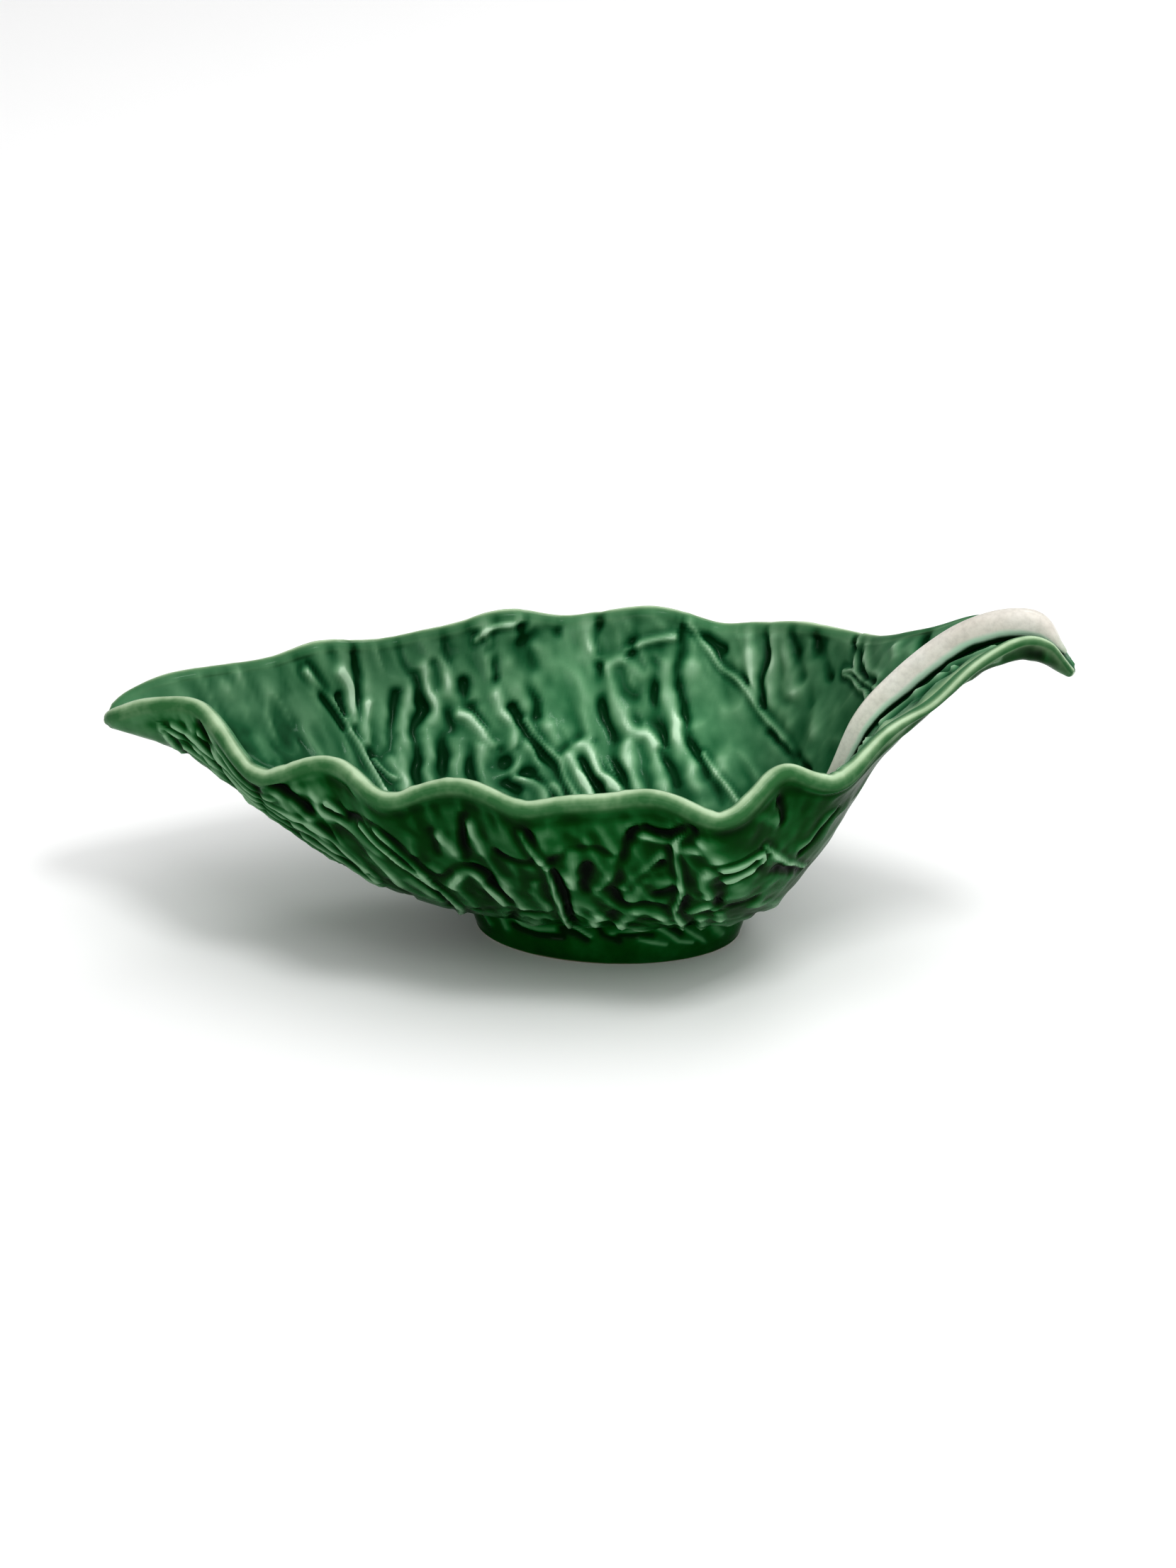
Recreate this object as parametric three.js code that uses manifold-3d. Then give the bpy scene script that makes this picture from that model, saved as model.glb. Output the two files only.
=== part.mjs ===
// Cabbage-leaf sauce boat: one cupped leaf with a wavy rim, a pointed pouring tip, its own stalk
// bent up and over as the handle, and a low oval foot ring under the bowl.
// Millimetres. +X runs from the pouring tip to the handle, +Z is up, Y is across the bowl.
import * as THREE from 'three';
import { mergeVertices } from 'three/addons/utils/BufferGeometryUtils.js';
import Module from 'manifold-3d';

// ---------------------------------------------------------------- driving dimensions
const MESH_STEP = 4.6;          // spacing of the leaf's cross lines along its spine
const MESH_COLUMNS = 24;        // divisions across the leaf, rim to rim
const BEAD_STEPS = 4;           // facets round the rolled rim
const JOINT_GAP = 0.3;          // thickness of the glaze joint between the pieces

const FOOT_CENTRE_X = 2;        // the foot sits a little behind the middle of the bowl
const FOOT_LENGTH = 66;         // oval foot, outside, at the table
const FOOT_WIDTH = 45;
const FOOT_FLARE = 1.5;         // how much the foot leans out by the top of its band, each side
const FOOT_BAND = 7;            // height at which the lean ends
const FOOT_WALL = 5.5;          // thickness of the ring at the table
const FOOT_EDGE = 0.9;          // worn rounding of the two bottom edges
const FOOT_EDGE_TURN = 0.29;    // where the facet of the outer rounding turns, as a share of it
const FOOT_TOP_LEAN = 0.6;      // further lean above the band, each side
const FOOT_WALL_GROWTH = 1.2;   // how much further in the inner face stands by the blank's top
const FOOT_BLANK_TOP = 17;      // the ring is made taller than needed, then trimmed by the leaf
const FOOT_SIDES = 56;

const STALK_SIDES = 9;          // facets over the top of the stalk
const STALK_BASE_SIDES = 4;     // facets under it, following the leaf's inner face

// Stations along the leaf, pouring tip first. spine = [x, z] of the middle of the wall on the
// centre line; rim = [x, half width, z] of the middle of the rolled edge; sweep = how far round the
// section curls, in degrees, from the spine to the rim; wall = half the wall thickness.
const STATIONS = [
  { spine: [-122.4, 48.4], rim: [-122.4, 1.6, 48.6], sweep: 60, wall: 2.0 },
  { spine: [-118.0, 47.8], rim: [-118.5, 6.0, 52.2], sweep: 60, wall: 2.1 },
  { spine: [-109.0, 45.6], rim: [-110.0, 10.0, 56.0], sweep: 60, wall: 2.2 },
  { spine: [-97.0, 41.0], rim: [-98.0, 17.0, 56.7], sweep: 62, wall: 2.2 },
  { spine: [-82.0, 32.2], rim: [-83.0, 28.5, 55.0], sweep: 66, wall: 2.2 },
  { spine: [-65.0, 21.0], rim: [-66.0, 39.5, 55.2], sweep: 70, wall: 2.2 },
  { spine: [-46.0, 12.4], rim: [-47.0, 48.5, 56.6], sweep: 72, wall: 2.2 },
  { spine: [-24.0, 8.5], rim: [-24.0, 56.0, 58.2], sweep: 74, wall: 2.2 },
  { spine: [0.0, 8.0], rim: [0.0, 58.5, 59.2], sweep: 74, wall: 2.2 },
  { spine: [22.0, 8.7], rim: [22.0, 58.5, 59.3], sweep: 74, wall: 2.2 },
  { spine: [40.5, 13.2], rim: [38.0, 55.0, 59.3], sweep: 73, wall: 2.2 },
  { spine: [52.3, 26.2], rim: [50.0, 48.0, 61.0], sweep: 72, wall: 2.2 },
  { spine: [61.2, 42.0], rim: [60.5, 39.5, 62.3], sweep: 72, wall: 2.2 },
  { spine: [68.4, 56.6], rim: [69.0, 29.5, 66.4], sweep: 70, wall: 2.2 },
  { spine: [78.4, 67.2], rim: [79.2, 21.5, 74.0], sweep: 66, wall: 2.3 },
  { spine: [89.8, 76.9], rim: [90.0, 16.5, 81.2], sweep: 66, wall: 2.3 },
  { spine: [100.0, 81.0], rim: [100.5, 12.8, 84.6], sweep: 66, wall: 2.3 },
  { spine: [107.6, 79.8], rim: [108.0, 8.6, 83.0], sweep: 64, wall: 2.2 },
  { spine: [113.4, 75.2], rim: [113.6, 2.2, 76.0], sweep: 60, wall: 1.7 },
];

// Waves of the rim. side -1 is the -Y edge and +1 the +Y edge; x is the middle of the wave, reach its
// length, up how far it lifts and out how far it leans.
const WAVES = [
  { side: -1, x: -96, reach: 10, up: 2.4, out: -2.6 },
  { side: -1, x: -78, reach: 9, up: -3.8, out: 3.2 },
  { side: -1, x: -58, reach: 9, up: 2.0, out: -2.4 },
  { side: -1, x: -44, reach: 8, up: -3.0, out: 2.4 },
  { side: -1, x: -25, reach: 10, up: 1.5, out: -1.5 },
  { side: -1, x: -10, reach: 8, up: -1.8, out: 1.6 },
  { side: -1, x: 19, reach: 9, up: 1.6, out: -1.6 },
  { side: -1, x: 37, reach: 8, up: -2.2, out: 3.4 },
  { side: -1, x: 48.5, reach: 6, up: 3.8, out: -2.4 },
  { side: -1, x: 63, reach: 6, up: -2.4, out: 1.6 },
  { side: -1, x: 82, reach: 8, up: -2.8, out: 0.8 },
  { side: -1, x: 104, reach: 8, up: 1.8, out: -0.3 },
  { side: 1, x: -104, reach: 12, up: -0.6, out: -0.2 },
  { side: 1, x: -92, reach: 9, up: -1.0, out: 1.0 },
  { side: 1, x: -76, reach: 8, up: 3.0, out: -2.2 },
  { side: 1, x: -60, reach: 9, up: -1.2, out: 2.0 },
  { side: 1, x: -32, reach: 9, up: 3.2, out: -2.4 },
  { side: 1, x: -17, reach: 8, up: -1.6, out: 1.8 },
  { side: 1, x: 5, reach: 10, up: 2.6, out: -2.2 },
  { side: 1, x: 23, reach: 8, up: -3.0, out: 2.6 },
  { side: 1, x: 45, reach: 8, up: 2.4, out: -2.4 },
  { side: 1, x: 58, reach: 8, up: 0.8, out: 1.4 },
  { side: 1, x: 71, reach: 9, up: 2.6, out: -1.0 },
  { side: 1, x: 105, reach: 11, up: -3.6, out: -0.8 },
  { side: 1, x: -20, reach: 160, up: -1.3, out: 0.0 },
];
const WAVE_START = 0.35;        // how far up the wall the waves begin, as a share of the section

// Stalk stations. at = place along the leaf counted in leaf stations; half = half width;
// rise = height above the leaf's inner face.
const STALK = [
  { at: 7.4, half: 0.8, rise: 0.8 },
  { at: 9.0, half: 1.5, rise: 1.6 },
  { at: 10.5, half: 1.8, rise: 2.4 },
  { at: 12.0, half: 1.9, rise: 3.8 },
  { at: 13.0, half: 2.4, rise: 5.2 },
  { at: 14.0, half: 3.0, rise: 6.4 },
  { at: 15.0, half: 3.4, rise: 6.5 },
  { at: 16.0, half: 3.5, rise: 6.5 },
  { at: 16.5, half: 3.4, rise: 6.0 },
  { at: 16.9, half: 3.1, rise: 3.9 },
  { at: 17.2, half: 2.4, rise: 1.6 },
  { at: 17.5, half: 1.1, rise: 0.8 },
];

// ---------------------------------------------------------------- leaf surface
const LAST = STATIONS.length - 1;
const smoothLine = (points) => new THREE.CatmullRomCurve3(points, false, 'catmullrom', 0.5);
const spineLine = smoothLine(STATIONS.map((p) => new THREE.Vector3(p.spine[0], 0, p.spine[1])));
const rimLine = smoothLine(STATIONS.map((p) => new THREE.Vector3(p.rim[0], p.rim[1], p.rim[2])));
const formLine = smoothLine(STATIONS.map((p) => new THREE.Vector3(p.sweep, p.wall, 0)));

// Middle of the wall. s runs 0..1 along the leaf, t runs -1..1 from the -Y rim to the +Y rim.
function wallMiddle(s, t) {
  const spine = spineLine.getPoint(s);
  const rim = rimLine.getPoint(s);
  const sweep = THREE.MathUtils.degToRad(formLine.getPoint(s).x);
  const up = Math.abs(t);
  const side = Math.sign(t);
  const across = Math.sin(sweep * up) / Math.sin(sweep);
  const rise = (1 - Math.cos(sweep * up)) / (1 - Math.cos(sweep));
  const point = new THREE.Vector3(
    spine.x + (rim.x - spine.x) * rise,
    side * rim.y * across,
    spine.z + (rim.z - spine.z) * rise,
  );
  const share = THREE.MathUtils.clamp((up - WAVE_START) / (1 - WAVE_START), 0, 1) ** 2;
  for (const wave of WAVES) {
    if (wave.side === side) {
      const near = share * Math.exp(-(((rim.x - wave.x) / wave.reach) ** 2));
      point.z += wave.up * near;
      point.y += side * wave.out * near;
    }
  }
  return point;
}

// Direction square to the wall, pointing into the hollow of the leaf.
function wallNormal(s, t) {
  const d = 0.0015;
  const along = wallMiddle(Math.min(s + d, 1), t).sub(wallMiddle(Math.max(s - d, 0), t));
  const over = wallMiddle(s, Math.min(t + d, 1)).sub(wallMiddle(s, Math.max(t - d, -1)));
  return along.cross(over).normalize();
}

// A point square off the middle of the wall: offset is measured from the wall's own face.
function offWall(s, t, sideOfWall, offset) {
  const reach = sideOfWall * (formLine.getPoint(s).y + offset);
  return wallMiddle(s, t).addScaledVector(wallNormal(s, t), reach);
}

// Cross lines of the leaf, closer together where the stations are.
function crossLines() {
  const lines = [0];
  for (let i = 0; i < LAST; i += 1) {
    const a = STATIONS[i].spine;
    const b = STATIONS[i + 1].spine;
    const parts = Math.max(1, Math.round(Math.hypot(b[0] - a[0], b[1] - a[1]) / MESH_STEP));
    for (let k = 1; k <= parts; k += 1) {
      lines.push((i + k / parts) / LAST);
    }
  }
  return lines;
}

const LINES = crossLines();
const COLUMNS = Array.from({ length: MESH_COLUMNS + 1 }, (_, j) => -1 + (2 * j) / MESH_COLUMNS);

// ---------------------------------------------------------------- mesh helpers
function solidFrom(points, triangles) {
  const geometry = new THREE.BufferGeometry();
  const numbers = new Float32Array(points.length * 3);
  points.forEach((p, i) => p.toArray(numbers, i * 3));
  geometry.setAttribute('position', new THREE.BufferAttribute(numbers, 3));
  geometry.setIndex(triangles);
  return geometry;
}

// Two triangles for the quad a, b, c, d, taken anticlockwise from outside.
function quad(list, a, b, c, d) {
  list.push(a, b, c, a, c, d);
}

// A closed solid from a stack of rings: neighbouring rings are joined, and the two ends are closed by
// a fan to each end ring's middle, or the last ring is joined to the first when looped is true.
function ringSolid(rings, looped) {
  const points = [];
  const faces = [];
  const n = rings[0].length;
  rings.forEach((ring) => points.push(...ring));
  const count = looped ? rings.length : rings.length - 1;
  for (let r = 0; r < count; r += 1) {
    const here = r * n;
    const next = ((r + 1) % rings.length) * n;
    for (let k = 0; k < n; k += 1) {
      const m = (k + 1) % n;
      quad(faces, here + k, here + m, next + m, next + k);
    }
  }
  if (!looped) {
    const ends = [0, (rings.length - 1) * n];
    ends.forEach((start, which) => {
      const middle = new THREE.Vector3();
      for (let k = 0; k < n; k += 1) {
        middle.addScaledVector(points[start + k], 1 / n);
      }
      points.push(middle);
      const hub = points.length - 1;
      for (let k = 0; k < n; k += 1) {
        const m = (k + 1) % n;
        if (which === 0) {
          faces.push(hub, start + m, start + k);
        } else {
          faces.push(hub, start + k, start + m);
        }
      }
    });
  }
  return solidFrom(points, faces);
}

// ---------------------------------------------------------------- leaf bowl
// The leaf is its inner face, its outer face and a rounded bead that joins them all the way round.
function leafBowl() {
  const rows = LINES.length;
  const cols = COLUMNS.length;
  const points = [];
  const faces = [];
  for (const face of [1, -1]) {
    for (const s of LINES) {
      for (const t of COLUMNS) {
        points.push(offWall(s, t, face, 0));
      }
    }
  }
  const inner = (i, j) => i * cols + j;
  const outer = (i, j) => (rows + i) * cols + j;
  for (let i = 0; i < rows - 1; i += 1) {
    for (let j = 0; j < cols - 1; j += 1) {
      quad(faces, inner(i, j), inner(i + 1, j), inner(i + 1, j + 1), inner(i, j + 1));
      quad(faces, outer(i, j), outer(i, j + 1), outer(i + 1, j + 1), outer(i + 1, j));
    }
  }
  const edge = [];
  for (let i = 0; i < rows - 1; i += 1) {
    edge.push([i, 0]);
  }
  for (let j = 0; j < cols - 1; j += 1) {
    edge.push([rows - 1, j]);
  }
  for (let i = rows - 1; i > 0; i -= 1) {
    edge.push([i, cols - 1]);
  }
  for (let j = cols - 1; j > 0; j -= 1) {
    edge.push([0, j]);
  }
  const strips = edge.map(([i, j], e) => {
    const before = edge[(e + edge.length - 1) % edge.length];
    const after = edge[(e + 1) % edge.length];
    const middle = wallMiddle(LINES[i], COLUMNS[j]);
    const normal = wallNormal(LINES[i], COLUMNS[j]);
    const run = wallMiddle(LINES[after[0]], COLUMNS[after[1]]);
    run.sub(wallMiddle(LINES[before[0]], COLUMNS[before[1]]));
    const outward = run.cross(normal).normalize();
    const half = formLine.getPoint(LINES[i]).y;
    const strip = [inner(i, j)];
    for (let k = 1; k < BEAD_STEPS; k += 1) {
      const angle = Math.PI / 2 - (Math.PI * k) / BEAD_STEPS;
      const point = middle.clone();
      point.addScaledVector(outward, half * Math.cos(angle));
      point.addScaledVector(normal, half * Math.sin(angle));
      strip.push(points.length);
      points.push(point);
    }
    strip.push(outer(i, j));
    return strip;
  });
  strips.forEach((strip, e) => {
    const next = strips[(e + 1) % strips.length];
    for (let k = 0; k < BEAD_STEPS; k += 1) {
      quad(faces, strip[k], strip[k + 1], next[k + 1], next[k]);
    }
  });
  return solidFrom(points, faces);
}

// ---------------------------------------------------------------- stalk
// A D-shaped rib laid along the leaf's inner face, its underside following that face.
function stalkRib() {
  const shape = smoothLine(STALK.map((p) => new THREE.Vector3(p.half, p.rise, p.at)));
  const first = STALK[0].at;
  const final = STALK[STALK.length - 1].at;
  const places = [first, ...LINES.map((s) => s * LAST).filter((at) => at > first + 0.05
    && at < final - 0.05), final];
  const rings = places.map((at) => {
    let u = 0;
    let v = 1;
    for (let k = 0; k < 40; k += 1) {
      const m = (u + v) / 2;
      if (shape.getPoint(m).z < at) {
        u = m;
      } else {
        v = m;
      }
    }
    const size = shape.getPoint(u);
    const s = at / LAST;
    const up = wallNormal(s, 0);
    const sweep = THREE.MathUtils.degToRad(formLine.getPoint(s).x);
    const halfLeaf = rimLine.getPoint(s).y;
    const base = (y) => {
      const t = Math.asin((y / halfLeaf) * Math.sin(sweep)) / sweep;
      return offWall(s, t, 1, JOINT_GAP);
    };
    const ring = [];
    for (let k = 0; k < STALK_BASE_SIDES; k += 1) {
      ring.push(base(size.x * (-1 + (2 * k) / STALK_BASE_SIDES)));
    }
    for (let k = 0; k < STALK_SIDES; k += 1) {
      const angle = (Math.PI * k) / STALK_SIDES;
      ring.push(base(size.x * Math.cos(angle)).addScaledVector(up, size.y * Math.sin(angle)));
    }
    return ring;
  });
  return ringSolid(rings, false);
}

// ---------------------------------------------------------------- foot ring
function ovalRing(inset, z, lift) {
  const ring = [];
  for (let k = 0; k < FOOT_SIDES; k += 1) {
    const angle = (2 * Math.PI * k) / FOOT_SIDES;
    ring.push(new THREE.Vector3(
      FOOT_CENTRE_X + (FOOT_LENGTH / 2 - inset + lift) * Math.cos(angle),
      (FOOT_WIDTH / 2 - inset + lift) * Math.sin(angle),
      z,
    ));
  }
  return ring;
}

// The space the leaf takes up above the foot: its outer face, grown by the joint gap, carried upwards.
function leafAbove() {
  const from = 6;
  const to = 11;
  const steps = 24;
  const reach = 0.75;
  const lower = [];
  const upper = [];
  for (let i = 0; i <= steps; i += 1) {
    for (let j = 0; j <= steps; j += 1) {
      const s = (from + ((to - from) * i) / steps) / LAST;
      const p = offWall(s, reach * (-1 + (2 * j) / steps), -1, JOINT_GAP);
      lower.push(p);
      upper.push(new THREE.Vector3(p.x, p.y, 90));
    }
  }
  const n = steps + 1;
  const at = (i, j) => i * n + j;
  const top = n * n;
  const faces = [];
  for (let i = 0; i < steps; i += 1) {
    for (let j = 0; j < steps; j += 1) {
      quad(faces, at(i, j), at(i, j + 1), at(i + 1, j + 1), at(i + 1, j));
      quad(faces, top + at(i, j), top + at(i + 1, j), top + at(i + 1, j + 1), top + at(i, j + 1));
    }
  }
  for (let k = 0; k < steps; k += 1) {
    quad(faces, at(k, 0), at(k + 1, 0), top + at(k + 1, 0), top + at(k, 0));
    quad(faces, at(steps, k), at(steps, k + 1), top + at(steps, k + 1), top + at(steps, k));
    quad(faces, at(k + 1, steps), at(k, steps), top + at(k, steps), top + at(k + 1, steps));
    quad(faces, at(0, k + 1), at(0, k), top + at(0, k), top + at(0, k + 1));
  }
  return solidFrom([...lower, ...upper], faces);
}

function footRing(wasm) {
  const blank = ringSolid([
    ovalRing(FOOT_EDGE, 0, 0),
    ovalRing(FOOT_EDGE * FOOT_EDGE_TURN, FOOT_EDGE * FOOT_EDGE_TURN, 0),
    ovalRing(0, FOOT_EDGE, 0),
    ovalRing(0, FOOT_BAND, FOOT_FLARE),
    ovalRing(0, FOOT_BLANK_TOP, FOOT_FLARE + FOOT_TOP_LEAN),
    ovalRing(FOOT_WALL + FOOT_WALL_GROWTH, FOOT_BLANK_TOP, 0),
    ovalRing(FOOT_WALL, FOOT_EDGE, 0),
    ovalRing(FOOT_WALL - FOOT_EDGE, 0, 0),
  ], true);
  const toManifold = (geometry) => {
    const merged = mergeVertices(geometry, 1e-4);
    return new wasm.Manifold(new wasm.Mesh({
      numProp: 3,
      vertProperties: new Float32Array(merged.attributes.position.array),
      triVerts: new Uint32Array(merged.index.array),
    }));
  };
  const cut = toManifold(blank).subtract(toManifold(leafAbove())).getMesh();
  const geometry = new THREE.BufferGeometry();
  geometry.setAttribute('position', new THREE.BufferAttribute(cut.vertProperties, 3));
  geometry.setIndex(new THREE.BufferAttribute(cut.triVerts, 1));
  return geometry;
}

// ---------------------------------------------------------------- assembly
const wasm = await Module();
wasm.setup();

const leafGlaze = new THREE.MeshStandardMaterial({ color: 0x2f6b45, roughness: 0.15, metalness: 0 });
const stalkGlaze = new THREE.MeshStandardMaterial({ color: 0xddd8cf, roughness: 0.2, metalness: 0 });
const footGlaze = new THREE.MeshStandardMaterial({ color: 0x0f4a24, roughness: 0.15, metalness: 0 });

function piece(name, geometry, material) {
  const mesh = new THREE.Mesh(geometry, material);
  mesh.name = name;
  return mesh;
}

const sauceBoat = new THREE.Group();
sauceBoat.add(piece('leaf_bowl', leafBowl(), leafGlaze));
sauceBoat.add(piece('stalk', stalkRib(), stalkGlaze));
sauceBoat.add(piece('foot_ring', footRing(wasm), footGlaze));

// The origin goes to the middle of the base of the whole boat.
const extent = new THREE.Box3().setFromObject(sauceBoat);
const middle = extent.getCenter(new THREE.Vector3());
sauceBoat.position.set(-middle.x, -middle.y, -extent.min.z);

export default sauceBoat;
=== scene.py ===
"""Cabbage-leaf sauce boat: the fine glazed surfaces, the studio and the camera."""
import bpy
import math
import numpy as np
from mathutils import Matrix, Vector


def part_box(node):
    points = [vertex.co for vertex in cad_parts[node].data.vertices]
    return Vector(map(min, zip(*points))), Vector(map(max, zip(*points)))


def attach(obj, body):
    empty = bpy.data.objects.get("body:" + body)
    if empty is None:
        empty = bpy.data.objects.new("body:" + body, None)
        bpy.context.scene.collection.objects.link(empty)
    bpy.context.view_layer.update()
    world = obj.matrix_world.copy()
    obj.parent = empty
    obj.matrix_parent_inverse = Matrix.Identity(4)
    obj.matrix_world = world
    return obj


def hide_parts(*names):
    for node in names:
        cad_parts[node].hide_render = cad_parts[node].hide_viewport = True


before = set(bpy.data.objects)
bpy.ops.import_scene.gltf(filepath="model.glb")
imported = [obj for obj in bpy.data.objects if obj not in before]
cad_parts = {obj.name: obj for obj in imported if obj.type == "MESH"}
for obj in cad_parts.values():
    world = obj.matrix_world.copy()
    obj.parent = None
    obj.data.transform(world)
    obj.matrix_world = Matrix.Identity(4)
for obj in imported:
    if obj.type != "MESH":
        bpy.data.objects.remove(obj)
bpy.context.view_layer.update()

# The leaf is drawn in millimetres in a frame of its own; SHIFT carries it to the CAD's frame, with the
# foot's middle at FOOT_CENTRE_X.
FOOT_CENTRE_X = 2.0
FOOT_HALF_LENGTH = 33.0
FOOT_HALF_WIDTH = 22.5
foot_lo, foot_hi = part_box("foot_ring")
SHIFT = np.array([
    (foot_lo.x + foot_hi.x) / 2 * 1000 - FOOT_CENTRE_X,
    (foot_lo.y + foot_hi.y) / 2 * 1000,
    foot_lo.z * 1000,
])

# ---- the leaf's form
# spine x, spine z, rim x, half width, rim z, sweep in degrees, half wall
STATIONS = np.array([
    (-122.4, 48.4, -122.4, 1.6, 48.6, 60, 2.0),
    (-118.0, 47.8, -118.5, 6.0, 52.2, 60, 2.1),
    (-109.0, 45.6, -110.0, 10.0, 56.0, 60, 2.2),
    (-97.0, 41.0, -98.0, 17.0, 56.7, 62, 2.2),
    (-82.0, 32.2, -83.0, 28.5, 55.0, 66, 2.2),
    (-65.0, 21.0, -66.0, 39.5, 55.2, 70, 2.2),
    (-46.0, 12.4, -47.0, 48.5, 56.6, 72, 2.2),
    (-24.0, 8.5, -24.0, 56.0, 58.2, 74, 2.2),
    (0.0, 8.0, 0.0, 58.5, 59.2, 74, 2.2),
    (22.0, 8.7, 22.0, 58.5, 59.3, 74, 2.2),
    (40.5, 13.2, 38.0, 55.0, 59.3, 73, 2.2),
    (52.3, 26.2, 50.0, 48.0, 61.0, 72, 2.2),
    (61.2, 42.0, 60.5, 39.5, 62.3, 72, 2.2),
    (68.4, 56.6, 69.0, 29.5, 66.4, 70, 2.2),
    (78.4, 67.2, 79.2, 21.5, 74.0, 66, 2.3),
    (89.8, 76.9, 90.0, 16.5, 81.2, 66, 2.3),
    (100.0, 81.0, 100.5, 12.8, 84.6, 66, 2.3),
    (107.6, 79.8, 108.0, 8.6, 83.0, 64, 2.2),
    (113.4, 75.2, 113.6, 2.2, 76.0, 60, 1.7),
])
# waves of the rim: side, x, reach, lift, lean out
WAVES = [
    (-1, -96, 10, 2.4, -2.6), (-1, -78, 9, -3.8, 3.2), (-1, -58, 9, 2.0, -2.4), (-1, -44, 8, -3.0, 2.4),
    (-1, -25, 10, 1.5, -1.5), (-1, -10, 8, -1.8, 1.6), (-1, 19, 9, 1.6, -1.6), (-1, 37, 8, -2.2, 3.4),
    (-1, 48.5, 6, 3.8, -2.4), (-1, 63, 6, -2.4, 1.6), (-1, 82, 8, -2.8, 0.8), (-1, 104, 8, 1.8, -0.3),
    (1, -104, 12, -0.6, -0.2), (1, -92, 9, -1.0, 1.0), (1, -76, 8, 3.0, -2.2), (1, -60, 9, -1.2, 2.0),
    (1, -32, 9, 3.2, -2.4), (1, -17, 8, -1.6, 1.8), (1, 5, 10, 2.6, -2.2), (1, 23, 8, -3.0, 2.6),
    (1, 45, 8, 2.4, -2.4), (1, 58, 8, 0.8, 1.4), (1, 71, 9, 2.6, -1.0), (1, 105, 11, -3.6, -0.8),
    (1, -20, 160, -1.3, 0.0),
]
# place along the leaf in stations, half width, rise over the leaf's inner face
STALK = np.array([
    (7.4, 0.8, 0.8), (9.0, 1.5, 1.6), (10.5, 1.8, 2.4), (12.0, 1.9, 3.8), (13.0, 2.4, 5.2),
    (14.0, 3.0, 6.4), (15.0, 3.4, 6.5), (16.0, 3.5, 6.5), (16.5, 3.4, 6.0), (16.9, 3.1, 3.9),
    (17.2, 2.4, 1.6), (17.5, 1.1, 0.8),
])
LAST = len(STATIONS) - 1
WAVE_START = 0.35  # how far up the wall the waves begin
TIP_X = -122.4  # the pouring tip and the handle's tip, mm
HANDLE_TIP_X = 112.0
SHARPNESS = 0.45  # how far the crests and grooves of the relief are tightened


def between(value, zero, one):
    """0 up to one place, 1 from another, and straight from the one to the other."""
    return np.clip((value - zero) / (one - zero), 0, 1)


def smooth_rows(table, at):
    """Catmull-Rom through the rows of a table, at places counted in rows."""
    table = np.asarray(table, float)
    last = len(table) - 1
    u = np.clip(np.asarray(at, float), 0, last)
    i = np.minimum(u.astype(int), last - 1)
    f = (u - i)[..., None]
    rows = np.vstack([2 * table[0] - table[1], table, 2 * table[-1] - table[-2]])
    a, b, c, d = rows[i], rows[i + 1], rows[i + 2], rows[i + 3]
    return b + 0.5 * f * (c - a + f * (2 * a - 5 * b + 4 * c - d + f * (3 * (b - c) + d - a)))


def wall_middle(at, t):
    """Middle of the wall, in mm: at counts stations, t runs -1..1 from the -Y rim to the +Y rim."""
    row = smooth_rows(STATIONS, at)
    up = np.abs(t)
    side = np.sign(t)
    sweep = np.radians(row[..., 5])
    across = np.sin(sweep * up) / np.sin(sweep)
    rise = (1 - np.cos(sweep * up)) / (1 - np.cos(sweep))
    x = row[..., 0] + (row[..., 2] - row[..., 0]) * rise
    y = side * row[..., 3] * across
    z = row[..., 1] + (row[..., 4] - row[..., 1]) * rise
    share = np.clip((up - WAVE_START) / (1 - WAVE_START), 0, 1) ** 2
    share = share * np.clip((row[..., 3] - 1.5) / 6, 0, 1)      # the waves die out where the leaf is narrow
    for wave_side, wave_x, reach, lift, lean in WAVES:
        near = share * np.exp(-((row[..., 2] - wave_x) / reach) ** 2) * (side == wave_side)
        z = z + lift * near
        y = y + side * lean * near
    return np.stack([x, y, z], -1)


def wall_normal(at, t):
    """Unit vector square to the wall, pointing into the hollow of the leaf."""
    ahead = 0.027
    aside = 0.003
    along = wall_middle(np.minimum(at + ahead, LAST), t) - wall_middle(np.maximum(at - ahead, 0), t)
    over = wall_middle(at, np.minimum(t + aside, 1)) - wall_middle(at, np.maximum(t - aside, -1))
    n = np.cross(along, over)
    return n / np.linalg.norm(n, axis=-1, keepdims=True)


def half_wall(at):
    """Half the wall's thickness in mm; it thins at the two tips, where the section is tightly curved."""
    row = smooth_rows(STATIONS, at)
    radius = row[..., 3] / np.sin(np.radians(row[..., 5]))
    return np.minimum(row[..., 6], 0.7 * radius)


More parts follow.
